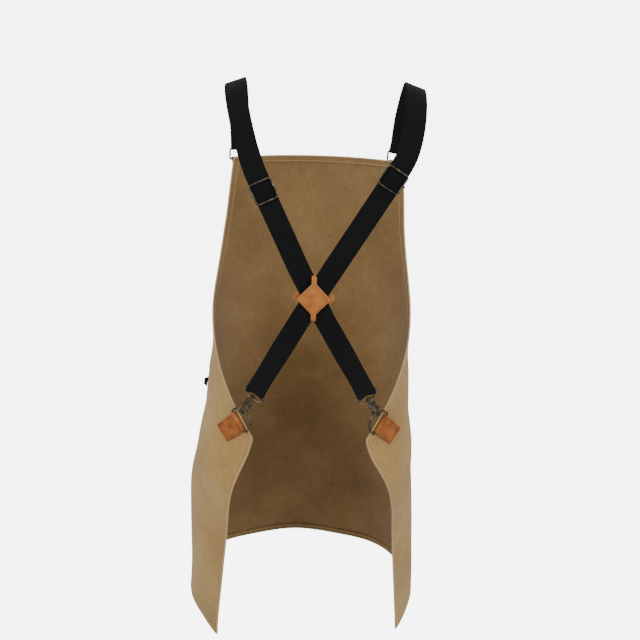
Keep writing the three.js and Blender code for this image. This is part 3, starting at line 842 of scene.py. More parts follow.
@dataclass
class Studio:
    """The camera, the soft lights, the pale floor and the dome."""

    paper: bpy.types.Material
    camera_at: tuple[float, float, float] = (-0.0102, 1.420, 0.1685)
    down: float = math.radians(21)
    roll: float = 0.0314
    focal_share: float = 930 / 640
    sensor: float = 36
    floor_drop: float = 0.62
    floor_size: float = 60
    dome: float = 26.0
    world_tone: str = "#F7F8FA"
    world_strength: float = 0.62
    lights_aim: tuple[float, float, float] = (0, 0, -0.45)
    # For each light its name, its place, its size in metres and its power in watts.
    lights: tuple[tuple[str, tuple[float, float, float], float, float], ...] = (
        ("key", (2.2, 1.6, 1.3), 1.4, 44),
        ("fill", (-2.3, 1.5, 0.7), 1.6, 34),
        ("front", (0.3, -2.4, 1.2), 2.2, 26),
    )

    def build(self, lowest: float) -> None:
        """Makes the studio round a part whose lowest point is given."""
        self._camera()
        self._lights()
        self._floor(lowest)

    def _camera(self) -> None:
        """Makes the camera behind the wearer, looking along -Y and down."""
        data = bpy.data.cameras.new("camera")
        data.sensor_width = self.sensor
        data.lens = self.sensor * self.focal_share
        data.clip_end = self.floor_size
        camera = bpy.data.objects.new("camera", data)
        bpy.context.scene.collection.objects.link(camera)
        facing = Matrix(
            (
                (-1, 0, 0),
                (0, -math.sin(self.down), math.cos(self.down)),
                (0, math.cos(self.down), math.sin(self.down)),
            )
        )
        turned = facing @ Matrix.Rotation(self.roll, 3, "Z")
        camera.location = self.camera_at
        camera.rotation_euler = turned.to_euler()
        bpy.context.scene.camera = camera

    def _lights(self) -> None:
        """Makes a pale world and three large soft lights."""
        world = bpy.data.worlds.new("studio")
        world.use_nodes = True
        background = world.node_tree.nodes["Background"]
        background.inputs["Color"].default_value = srgb(self.world_tone)
        background.inputs["Strength"].default_value = self.world_strength
        bpy.context.scene.world = world
        for name, place, size, power in self.lights:
            light = bpy.data.lights.new(name, "AREA")
            light.size = size
            light.energy = power
            holder = bpy.data.objects.new(name, light)
            holder.location = place
            aim = Vector(self.lights_aim) - Vector(place)
            holder.rotation_euler = aim.to_track_quat("-Z", "Y").to_euler()
            bpy.context.scene.collection.objects.link(holder)

    def _floor(self, lowest: float) -> None:
        """Makes the white floor, some way below the hanging part, and a white dome over it.

        Both show to the camera alone, so that the part is lit by the lights and the world.
        """
        place = (0, 0, lowest - self.floor_drop)
        deselect_all()
        bpy.ops.mesh.primitive_plane_add(size=self.floor_size, location=place)
        floor = bpy.context.active_object
        floor.name = "floor"
        deselect_all()
        bpy.ops.mesh.primitive_uv_sphere_add(radius=self.dome, segments=48, ring_count=24)
        dome = bpy.context.active_object
        dome.name = "dome"
        for paper in (floor, dome):
            dress(paper, self.paper)
            paper.visible_diffuse = paper.visible_glossy = False
            paper.visible_shadow = paper.visible_transmission = False
        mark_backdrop(floor, dome)


# ------------------------------------------------------------------ the hanging cloth


@dataclass(frozen=True)
class Station:
    """One level section of the hanging panel, as part of an ellipse.

    Sizes are in millimetres: the flat distance down, half the width and half the depth, how far
    the middle stands to the wearer's left, how far forward the front is and how far the cloth is
    turned round the section.
    """

    down: float
    half_width: float
    half_depth: float
    middle: float
    front: float
    turn: float


@dataclass(frozen=True)
class Folds:
    """The soft folds of the canvas.

    Depths are in metres and turns in radians for each metre of cloth across or down. A start and a
    fade say how far down, or how far out, a kind of fold begins and over what distance it grows.
    """

    hang_depth: float = 2.6 * MM
    hang_turns: float = 38
    hang_phase: float = 0.8
    sway: float = 1.5
    sway_turns: float = 9
    hang_start: float = 0.42
    hang_fade: float = 0.30
    edge_depth: float = 2.2 * MM
    edge_turns: tuple[float, float] = (70, 16)
    edge_start: float = 0.30
    edge_fade: float = 0.09
    drag_depth: float = 1.2 * MM
    drag_turns: tuple[float, float] = (30, 62)
    drag_start: float = 0.12
    drag_fade: float = 0.1
    drag_down: float = 0.40
    drag_reach: float = 0.11
    slack_depth: float = 0.7 * MM
    slack_turns: tuple[float, float] = (21, 27)
    slack_beat: tuple[float, float] = (8, 13)

    def at(self, u: np.ndarray, v: np.ndarray) -> np.ndarray:
        """Gives how far the folds stand off the plain hang, before any fitting holds them."""
        out = np.abs(u)
        lower = np.clip((v - self.hang_start) / self.hang_fade, 0, 1)
        swing = self.hang_phase + self.sway * np.sin(v * self.sway_turns)
        hang = self.hang_depth * lower * np.sin(u * self.hang_turns + swing)
        edge = np.clip((out - self.edge_start) / self.edge_fade, 0, 1)
        across, down = self.edge_turns
        hang += self.edge_depth * lower * edge * np.sin(out * across + v * down)
        across, down = self.drag_turns
        grown = np.clip((out - self.drag_start) / self.drag_fade, 0, 1)
        drag = self.drag_depth * np.sin(v * down - out * across) * grown
        drag *= np.exp(-(((v - self.drag_down) / self.drag_reach) ** 2))
        across, down = self.slack_turns
        slack = self.slack_depth * np.sin(u * across + v * down)
        across, down = self.slack_beat
        return hang + drag + slack * np.sin(v * down + u * across)


@dataclass
class Drape:
    """The hanging shape of the canvas: it takes flat places to places in the frame."""

    bib_half: float = 0.145
    taper: float = 0.060
    panel_half: float = 0.390
    power: float = 3.4
    bib_height: float = 0.370
    panel_height: float = 0.775
    top: float = -0.130
    drop: float = 0.985
    dip: float = 0.048
    dip_start: float = 0.240
    dip_from: float = 0.080
    dip_fade: float = 0.200
    thick: float = 1.6 * MM
    ease: float = 0.03
    steps: int = 241
    soft: Folds = Folds()
    # Where fittings are sewn on: the flat distance out, the distance down and the reach held.
    held: tuple[tuple[float, float, float], ...] = (
        (0.345, 0.375, 0.050), (0.127, 0.020, 0.045), (0.241, 0.372, 0.020),
    )
    stations: tuple[Station, ...] = (
        Station(0, 175, 100, 0, -118, 0),
        Station(120, 166, 118, 3, -128, 1),
        Station(280, 160, 133, 4, -142, 4),
        Station(370, 169, 138, 6, -150, 6),
        Station(408, 172, 140, 7, -152, 7),
        Station(450, 179, 158, 8, -155, 16),
        Station(560, 194, 149, 14, -163, 26),
        Station(775, 202, 156, 11, -176, 21),
    )

    def half_width(self, v: np.ndarray) -> np.ndarray:
        """Gives half the flat cut's width at a distance down."""
        share = np.clip(v / self.bib_height, 0, 1)
        rest = self.panel_half - self.bib_half - self.taper
        return self.bib_half + self.taper * share + rest * share**self.power

    def section(self, v: np.ndarray, key: str) -> np.ndarray:
        """Gives one of the sections' sizes in metres, eased over the stations."""
        downs = [station.down * MM for station in self.stations]
        values = [getattr(station, key) * MM for station in self.stations]
        reach = np.linspace(-self.ease, self.ease, 7)
        inside = np.clip(v[..., None] + reach, 0, self.panel_height)
        return np.interp(inside, downs, values).mean(axis=-1)

    def folds(self, u: np.ndarray, v: np.ndarray) -> np.ndarray:
        """Gives how far soft folds stand off the plain hang, in metres.

        The folds run down from the waist, drag towards the back tabs and fade out at the tabs,
        the bib's corners and the hip loop, where fittings are sewn on.
        """
        return self.soft.at(u, v) * self.free(u, v)

    def free(self, u: np.ndarray, v: np.ndarray) -> np.ndarray:
        """Gives 0 where a fitting is sewn to the cloth and 1 well away from it."""
        free = np.ones_like(u)
        for spot_u, spot_v, reach in self.held:
            far = np.hypot(np.abs(u) - spot_u, v - spot_v) / reach
            free = free * np.clip(far - 0.8, 0, 1)
        return free

    def bare(self, u: np.ndarray, v: np.ndarray) -> np.ndarray:
        """Gives the plain hang of flat places, with no folds and no lift."""
        a, b = self.section(v, "half_width"), self.section(v, "half_depth")
        along = u + self.section(v, "turn")
        steps = np.linspace(0, math.pi, self.steps)
        speed = np.hypot(a[:, None] * np.cos(steps), b[:, None] * np.sin(steps))
        middle = (speed[:, 1:] + speed[:, :-1]) / 2 * (steps[1] - steps[0])
        length = np.concatenate([np.zeros((len(a), 1)), np.cumsum(middle, axis=1)], axis=1)
        wanted = np.abs(along)[:, None]
        index = np.clip((length < wanted).sum(axis=1), 1, len(steps) - 1)
        rows = np.arange(len(a))
        low, high = length[rows, index - 1], length[rows, index]
        share = (np.abs(along) - low) / np.maximum(high - low, 1e-9)
        angle = steps[index - 1] + np.clip(share, 0, 1) * (steps[1] - steps[0])
        wrap = np.clip((np.abs(u) - self.dip_start) / (self.panel_half - self.dip_start), 0, 1.2)
        sunk = self.dip * wrap**2 * np.clip((v - self.dip_from) / self.dip_fade, 0, 1)
        return np.column_stack(
            [
                self.section(v, "middle") + np.sign(along) * a * np.sin(angle),
                self.section(v, "front") + b - b * np.cos(angle),
                self.top - self.drop * v - sunk,
            ]
        )

    def normal(self, u: np.ndarray, v: np.ndarray) -> np.ndarray:
        """Gives the unit direction off the outside of the cloth."""
        reach = 2 * MM
        across = self.bare(u + reach, v) - self.bare(u - reach, v)
        down = self.bare(u, v + reach) - self.bare(u, v - reach)
        return unit(np.cross(down, across))

    def at(self, lift: float | np.ndarray) -> Surface:
        """Gives a surface that stands a distance off the middle of the canvas."""

        def surface(u: np.ndarray, v: np.ndarray) -> np.ndarray:
            """Gives the points for flat places."""
            off = (lift + self.folds(u, v))[:, None]
            return self.bare(u, v) + self.normal(u, v) * off

        return surface

    def line(self, u: np.ndarray, v: np.ndarray, lift: float) -> tuple[np.ndarray, np.ndarray]:
        """Gives a line on the cloth, with the direction off it at each point."""
        outward = self.normal(u, v) * (1 if lift >= 0 else -1)
        return self.at(lift)(u, v), outward

    def border(self, inset: float, step: float = 4 * MM) -> np.ndarray:
        """Gives the flat outline of the panel, some way in from its edge.

        Args:
            inset: How far in from the cut edge the outline runs.
            step: The distance between its points.

        Returns:
            The outline's u and v, counted from the bib's top right corner.
        """
        v = np.linspace(0, self.bib_height, 400)
        edge = np.column_stack([self.half_width(v), v])
        away = unit(np.gradient(edge, axis=0))
        inner = edge + np.column_stack([-away[:, 1], away[:, 0]]) * inset
        inner = inner[(inner[:, 1] >= inset) & (inner[:, 0] <= self.panel_half - inset)]
        left = np.vstack([inner, [[self.panel_half - inset, self.panel_height - inset]]])
        right = left[::-1] * np.array([-1, 1])
        return resample(np.vstack([left, right]), step, closed=True)


@dataclass(frozen=True)
class Pocket:
    """One patch pocket on the front of the panel.

    It has the CAD node that it stands for, how far down the flat panel its mouth lies, its flat
    width and height, how far its mouth stands open at the middle, its numbers of vertices across
    and down, and whether a seam down its middle makes two pockets of it.
    """

    node: str
    top: float
    width: float
    height: float
    swell: float
    columns: int
    rows: int
    split: bool = False
    seat: float = 1.0 * MM
    thick: float = 1.1 * MM
    edge: float = 4 * MM
    seam_gap: float = 5 * MM
    rim: float = 20 * MM
    stitch_rise: float = 0.62 * MM
    split_hold: float = 0.28

    def stand(self, u: np.ndarray, v: np.ndarray) -> np.ndarray:
        """Gives how far the pocket's mouth opens at flat places of the panel."""
        across, down = 2 * u / self.width, (v - self.top) / self.height
        opened = (1 - across**2) * (1 - down**2)
        if self.split:
            hold = self.split_hold
            opened = opened * (1 - hold + hold * np.abs(np.sin(np.pi * across)))
        return self.swell * opened

    def seam_lines(self) -> list[tuple[np.ndarray, np.ndarray]]:
        """Gives the flat lines of its seams: two down and round the sides, its hem and its split."""
        lines = []
        for inset in (self.edge, self.edge + self.seam_gap):
            x, low = self.width / 2 - inset, self.top + self.height - inset
            side = np.linspace(self.top + 1 * MM, low, 90)
            base = np.linspace(-x, x, 120)
            lines += [(np.full_like(side, x), side), (np.full_like(side, -x), side)]
            lines.append((base, np.full_like(base, low)))
        mouth = np.linspace(self.edge - self.width / 2, self.width / 2 - self.edge, 120)
        lines.append((mouth, np.full_like(mouth, self.top + self.rim)))
        if self.split:
            middle = np.linspace(self.top + 2 * MM, self.top + self.height - self.edge, 90)
            lines.append((0 * middle, middle))
        return lines


@dataclass
class CanvasBody:
    """The canvas panel with its turned hems, facings, pockets and seams."""

    drape: Drape
    wardrobe: Wardrobe
    rows: int = 172
    columns: int = 150
    hem: float = 10 * MM
    facing: float = 12 * MM
    facing_length: float = 0.50
    panel_area: float = 0.4765
    edge_radius: float = 1.5 * MM
    band_thick: float = 0.9 * MM
    seam_inset: float = 8.5 * MM
    tack_at: tuple[float, float] = (0.379, 0.383)
    tack_reach: tuple[float, float] = (4 * MM, 5 * MM)
    wearer: tuple[float, float] = (0.006, -0.01)
    pockets: tuple[Pocket, ...] = (
        Pocket("chest_pocket", 0.095, 0.150, 0.150, 9 * MM, 60, 60),
        Pocket("waist_pocket", 0.400, 0.380, 0.210, 13 * MM, 120, 70, split=True),
    )

    def build(self) -> None:
        """Makes every cloth piece of the body."""
        self._panel()
        self._rolled_edge()
        self._hems()
        for side in Side:
            self._facing(side)
        for pocket in self.pockets:
            self._pocket(pocket)
        self._seams()
        self._bar_tacks()

    def _panel(self) -> None:
        """Makes the panel itself, with painted shade on its inside."""
        v = np.linspace(0, 1, self.rows)[:, None] * np.ones((1, self.columns))
        v = self.drape.panel_height * v
        across = np.linspace(-1, 1, self.columns)[None, :] * np.ones((self.rows, 1))
        u = across * self.drape.half_width(v)
        panel = sheet_object("canvas_panel_cloth", self.drape.at(0), u, v)
        apply_modifier(panel, "SOLIDIFY", thickness=self.drape.thick * 0.9, offset=0.0)
        shade(panel, degrees=60)
        dress(panel, self.wardrobe.canvas, self.wardrobe.lining)
        self._line_inside(panel)
        hand_over(panel, "apron", "canvas", "canvas_panel")

    def _line_inside(self, panel: bpy.types.Object) -> None:
        """Gives the inward faces the darker copy of the canvas, painted shade for the inside."""
        polygons = panel.data.polygons
        normals, centres = np.empty(len(polygons) * 3), np.empty(len(polygons) * 3)
        polygons.foreach_get("normal", normals)
        polygons.foreach_get("center", centres)
        outward = centres.reshape(-1, 3)[:, :2] - np.array(self.wearer)
        facing = np.sum(normals.reshape(-1, 3)[:, :2] * outward, axis=1)
        polygons.foreach_set("material_index", (facing < 0).astype(np.int32))

    def _rolled_edge(self) -> None:
        """Makes the rounded edge where the cloth turns over, all round the panel, paler as a painted
        highlight.
        """
        flat = self.drape.border(0.4 * MM, 3.5 * MM)
        points = self.drape.at(-0.2 * MM)(flat[:, 0], flat[:, 1])
        edge = wire("canvas_edge_roll", points, self.edge_radius, closed=True, sides=2)
        dress(edge, self.wardrobe.rolled)
        hand_over(edge, "apron", "canvas")

    def _band(self, name: str, u: np.ndarray, v: np.ndarray, lift: float) -> bpy.types.Object:
        """Makes one turned band of cloth on the inside of the panel, in the darker canvas that paints
        shade.
        """
        band = sheet_object(name, self.drape.at(lift), u, v)
        apply_modifier(band, "SOLIDIFY", thickness=self.band_thick, offset=0.0)
        shade(band, degrees=60)
        dress(band, self.wardrobe.lining)
        return band

    def _hems(self) -> None:
        """Makes the turned hems at the bib's top, the two back edges and the bottom."""
        lift = -(self.drape.thick / 2 + 0.75 * MM)
        half, height = self.drape.panel_half, self.drape.panel_height
        share = np.linspace(0, 1, 4)
        bands = []
        for side in Side:
            v = np.linspace(self.drape.bib_height + 3 * MM, height - 1 * MM, 90)
            u = side.value * (half - 1 * MM - share * self.hem)
            grid_v, grid_u = np.meshgrid(v, u, indexing="ij")
            bands.append(self._band(f"hem_{side.word}", grid_u, grid_v, lift))
        for name, width, place, inward in (
            ("hem_top", self.drape.bib_half - 2 * MM, 1 * MM, 1),
            ("hem_bottom", half - self.hem - 2 * MM, height - 1 * MM, -1),
        ):
            u = np.linspace(-width, width, 120)
            v = place + inward * share * self.hem
            grid_v, grid_u = np.meshgrid(v, u, indexing="ij")
            bands.append(self._band(name, grid_u, grid_v, lift))
        hems = join(bands, "canvas_hems")
        hand_over(hems, "apron", "canvas")

    def _facing(self, side: Side) -> None:
        """Makes the band that is sewn inside one armhole edge."""
        v = np.linspace(3 * MM, self.drape.bib_height - 5 * MM, 110)
        inset = 1 * MM + np.linspace(0, 1, 5) * self.facing
        edge = self.drape.half_width(v)
        slope = np.gradient(edge, v)
        reach = np.hypot(1, slope)
        u = side.value * (edge[:, None] - inset[None, :] / reach[:, None])
        down = v[:, None] + inset[None, :] * (slope / reach)[:, None]
        lift = -(self.drape.thick / 2 + 0.9 * MM)
        band = self._band(f"facing_{side.word}", u, down, lift)
        hand_over(band, "apron", "canvas", f"armhole_facing_{side.word}")

    def _pocket(self, plan: Pocket) -> None:
        """Makes one patch pocket on the front, with its seams."""
        seat = self.drape.thick / 2 + plan.seat

        def surface(u: np.ndarray, v: np.ndarray) -> np.ndarray:
            """Gives the pocket's points for flat places."""
            return self.drape.at(seat + plan.stand(u, v))(u, v)

        down, share = np.meshgrid(
            np.linspace(0, 1, plan.rows), np.linspace(-1, 1, plan.columns), indexing="ij"
        )
        u, v = share * plan.width / 2, plan.top + down * plan.height
        pocket = sheet_object(f"{plan.node}_cloth", surface, u, v)
        apply_modifier(pocket, "SOLIDIFY", thickness=plan.thick, offset=0.0)
        shade(pocket, degrees=60)
        dress(pocket, self.wardrobe.canvas)
        hand_over(pocket, "apron", "canvas", plan.node)
        lines = []
        for u, v in plan.seam_lines():
            off = self.drape.normal(u, v)
            lines.append((surface(u, v) + off * plan.stitch_rise, off))
        StitchRow().sew(f"{plan.node}_stitches", lines, self.wardrobe.tan_thread, "canvas")

    def _seams(self) -> None:
        """Sews the hem's stitch line round the panel, on both faces."""
        lines = []
        for lift in (self.drape.thick / 2, -(self.drape.thick / 2 + 1.3 * MM)):
            flat = self.drape.border(self.seam_inset)
            lines.append(self.drape.line(flat[:, 0], flat[:, 1], lift))
        StitchRow().sew("hem_stitches", lines, self.wardrobe.tan_thread, "canvas")

    def _bar_tacks(self) -> None:
        """Sews a small cross of dense stitches at each back corner."""
        lines = []
        for side in Side:
            for slant in (-1, 1):
                share = np.linspace(-1, 1, 24)
                u = side.value * (self.tack_at[0] + slant * self.tack_reach[0] * share)
                v = self.tack_at[1] + self.tack_reach[1] * share
                lines.append(self.drape.line(u, v, self.drape.thick / 2 + 0.2 * MM))
        tacks = StitchRow(0.9 * MM, 1.6 * MM, 0.9 * MM)
        tacks.sew("corner_bar_tacks", lines, self.wardrobe.tan_thread, "canvas")


# ------------------------------------------------------------------ straps


def smoothstep(values: np.ndarray | float, low: float, high: float) -> np.ndarray:
    """Gives the eased share of values between two ends."""
    share = np.clip((np.asarray(values, float) - low) / (high - low), 0, 1)
    return share * share * (3 - 2 * share)


def bezier(*controls: np.ndarray) -> Callable[[np.ndarray], np.ndarray]:
    """Gives a Bezier curve through its first and last control points."""
    rank = len(controls) - 1

    def curve(t: np.ndarray) -> np.ndarray:
        """Gives the curve's points."""
        total = np.zeros((len(t), 3))
        for k, control in enumerate(controls):
            total += math.comb(rank, k) * ((1 - t) ** (rank - k) * t**k)[:, None] * control
        return total

    return curve


@dataclass(frozen=True)
class StrapRoute:
    """Where one strap runs: its shoulder, its slider and the swing of its climb."""

    side: Side
    slider: tuple[float, float, float]
    shoulder: tuple[float, float, float]
    climb: float


@dataclass
class Strap:
    """One strap of webbing from its snap, across the back and over a shoulder to the bib.

    It is sewn round the snap's eye. At the front it turns round the loop and comes back under
    itself to the slider's bar, so it is doubled over the shoulder.
    """

    route: StrapRoute
    chain: Axes
    corner: Axes
    wardrobe: Wardrobe
    crossing: tuple[float, float, float] = (0, 0.120, -0.297)
    width: float = 32 * MM
    thick: float = 1.6 * MM
    pitch: float = 2.0 * MM
    sewn_end: float = 22 * MM
    end_radius: float = 2.8 * MM
    tail_radius: float = 2.4 * MM
    tail_depth: float = 4.4 * MM
    cross_flat: float = 38 * MM
    cross_bend: float = 12 * MM
    above_slider: float = 21 * MM
    shoulder_reach: float = 42 * MM
    front_rise: float = 50 * MM
    slope: float = 0.36
    slope_fade: float = 110 * MM
    settle: float = 120 * MM
    settle_end: float = 16 * MM
    back_turn: float = math.radians(27)
    box_gap: float = 3 * MM
    # Where the strap's lengths meet and bend, as distances above the slider or before the bib.
    under_snap: float = 9 * MM
    fold_above: float = 24 * MM
    fold_reach: float = 18 * MM
    doubled_bend: tuple[float, float] = (100 * MM, 2 * MM)
    turn_end: float = 12 * MM
    front_end: float = 60 * MM
    front_bend: tuple[float, float] = (58 * MM, 14 * MM)
    webbing_step: float = 2.4 * MM
    webbing_edge: float = 0.9 * MM

    def __post_init__(self) -> None:
        """Lays out the strap's middle line."""
        side = self.route.side.value
        slider, shoulder = np.array(self.route.slider), np.array(self.route.shoulder)
        centre = np.array(self.crossing) - np.array([0, side * self.pitch / 2, 0])
        start = self.chain.origin + self.chain.z * self.end_radius
        hung = start + self.chain.y * (self.sewn_end + 3 * MM)
        flat = unit((slider - start) * np.array([1, 0, 1]))
        low, high = centre - flat * self.cross_flat, centre + flat * self.cross_flat
        bend = high + flat * self.cross_bend
        climb = unit(slider - bend)
        free = bend + climb * self.cross_bend
        top = slider + climb * self.above_slider
        front = self.corner.origin + self.corner.z * self.end_radius
        reach = np.array([0, self.shoulder_reach, 0])
        pieces = [
            bezier(start, hung), bezier(hung, low), bezier(low, high), bezier(high, bend, free),
            bezier(free, top), bezier(top, top + climb * self.route.climb, shoulder + reach, shoulder),
            bezier(shoulder, shoulder - reach, front + self.corner.y * self.front_rise, front),
        ]
        points, marks = [start[None, :]], [0.0]
        for curve in pieces:
            run = curve(np.linspace(0, 1, 160))[1:]
            before = points[-1][-1:]
            points.append(run)
            marks.append(marks[-1] + float(distances(np.vstack([before, run]))[-1]))
        self.path = np.vstack(points)
        self.along = distances(self.path)
        self.marks = marks
        self.length = marks[-1]
        self.slider_at = marks[-3] - self.above_slider

    def point(self, distance: np.ndarray) -> np.ndarray:
        """Gives places on the middle line."""
        spots = np.clip(distance, 0, self.length)
        return on_line(self.path, self.along, spots) + self.tangent(spots) * (distance - spots)[:, None]

    def tangent(self, distance: np.ndarray) -> np.ndarray:
        """Gives the direction of the middle line, away from the snap."""
        reach = 2.5 * MM
        low = np.clip(distance - reach, 0, self.length)
        high = np.clip(distance + reach, 0, self.length)
        ends = [on_line(self.path, self.along, spots) for spots in (low, high)]
        return unit(ends[1] - ends[0])

    def across(self, distance: np.ndarray) -> np.ndarray:
        """Gives the direction of the strap's width."""
        tangent = self.tangent(distance)
        near = np.clip(1 - np.abs(distance - self.marks[-2]) / self.slope_fade, 0, 1)
        tip = self.slope * smoothstep(near, 0, 1)
        turn = self.back_turn * (1 - smoothstep(distance, self.marks[1], self.marks[2]))
        chain_side = -self.route.side.value
        level = np.column_stack(
            [np.cos(turn), -chain_side * np.sin(turn), -self.route.side.value * tip]
        )
        settled = smoothstep(distance, self.length - self.settle, self.length - self.settle_end)
        level = level * (1 - settled)[:, None] + self.corner.x * settled[:, None]
        return square_to(level, tangent)

    def run(self, stations: np.ndarray) -> tuple[np.ndarray, np.ndarray, np.ndarray]:
        """Gives centres, widths and outward directions for places along and heights off it.

        Args:
            stations: Pairs of a distance along the middle line and a height off it.

        Returns:
            The middle, width direction and outward direction of each section.
        """
        distance, height = stations[:, 0], stations[:, 1]
        tangent = self.tangent(distance)
        across = self.across(distance)
        off = np.cross(tangent, across)
        heading = unit(np.gradient(stations, axis=0))
        centres = self.point(distance) + off * height[:, None]
        out = -tangent * heading[:, 1:] + off * heading[:, :1]
        return centres, across, unit(out)

    def build(self) -> None:
        """Makes the strap's four lengths of webbing and its stitches.

        The back length rides on the apron. The front one, the doubled one and the turn round the
        slider's bar are baked in place and attached to no body.
        """
        word = self.route.side.word
        crest = self.marks[-2]
        under = -self.pitch
        angles = np.linspace(-math.pi / 2, math.pi / 2, 13)
        radius, tail = self.end_radius, self.tail_radius
        sewn = [(-radius * math.cos(a), radius * math.sin(a) - radius) for a in angles]
        round_loop = [
            (self.length + radius * math.cos(a), radius * math.sin(a) - radius)
            for a in angles[::-1]
        ]
        round_bar = [
            (self.slider_at - tail * math.cos(a), tail * math.sin(a) - self.tail_depth)
            for a in angles[::-1]
        ]
        fold, front_end = self.slider_at + self.fold_above, self.length - self.front_end
        back = self._length(
            "back", [(self.sewn_end, under), (self.under_snap, under), *sewn, (crest, 0)]
        )
        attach(back, "apron")
        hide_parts(f"strap_{word}")

        front = self._length(
            "front",
            [(crest, 0), *round_loop, (self.length - self.turn_end, under), (front_end, under)],
        )
        self._bend(front)

        doubled = self._length("doubled", [(front_end, under), (fold, under)])
        self._bend(doubled)

        tip = [
            (self.slider_at + place, 2 * under) for place in (self.under_snap, self.sewn_end)
        ]
        wrapped = self._length(
            "wrapped", [(fold, under), (self.slider_at, under), *round_bar, *tip]
        )
        self._bend(wrapped)
        LOG.info("strap %s runs %.0f mm from the snap to the bib", word, self.length * 1000)
        self._stitch(word)

    def _length(self, part: str, outline: Sequence[tuple[float, float]]) -> bpy.types.Object:
        """Makes one length of the strap's webbing.

        Args:
            part: The length's own word in its name.
            outline: Its lengthwise middle line, as places along the route and heights off it.

        Returns:
            The dressed webbing.
        """
        stations = resample(np.array(outline), self.webbing_step)
        name = f"strap_{self.route.side.word}_{part}"
        piece = ribbon(name, *self.run(stations), self.width, self.thick, self.webbing_edge)
        dress(piece, self.wardrobe.webbing)
        return piece

    def _bend(self, piece: bpy.types.Object) -> None:
        """Bakes a length's place into its mesh; it is attached to no body."""
        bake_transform(piece)

    def _stitch(self, word: str) -> None:
        """Sews the boxed end by the snap, on both faces of the doubled webbing."""
        half = self.width / 2 - self.box_gap
        first, last = 2 * self.box_gap, self.sewn_end - self.box_gap
        box = [(-half, first), (half, first), (half, last), (-half, last), (-half, first)]
        lines = []
        for height, sign in ((self.thick / 2, 1), (-self.pitch - self.thick / 2, -1)):
            for start, end in zip(box[:-1], box[1:]):
                spots = np.linspace(start, end, 20)
                distance = spots[:, 1]
                across = self.across(distance)
                off = np.cross(self.tangent(distance), across)
                place = self.point(distance) + across * spots[:, :1] + off * height
                lines.append((place, off * sign))
        row = StitchRow(2.6 * MM, 2.0 * MM, 0.6 * MM)
        row.sew(f"strap_{word}_stitches", lines, self.wardrobe.black_thread, "webbing")


# ------------------------------------------------------------------ metal fittings


def middle_of(name: str, frame: dict) -> np.ndarray:
    """Gives the mean of a CAD node's vertices."""
    mesh = frame["nodes"][name].data
    places = np.empty(len(mesh.vertices) * 3)
    mesh.vertices.foreach_get("co", places)
    return places.reshape(-1, 3).mean(axis=0)


def flat_wire(
    name: str, outline: Sequence[tuple[float, float]], axes: Axes, diameter: float
) -> bpy.types.Object:
    """Makes a closed ring of round wire that lies in the first two axes."""
    dense = resample(np.array([(x, y, 0.0) for x, y in outline]), 0.6 * MM, closed=True)
    return wire(name, axes.place(dense), diameter / 2, closed=True)


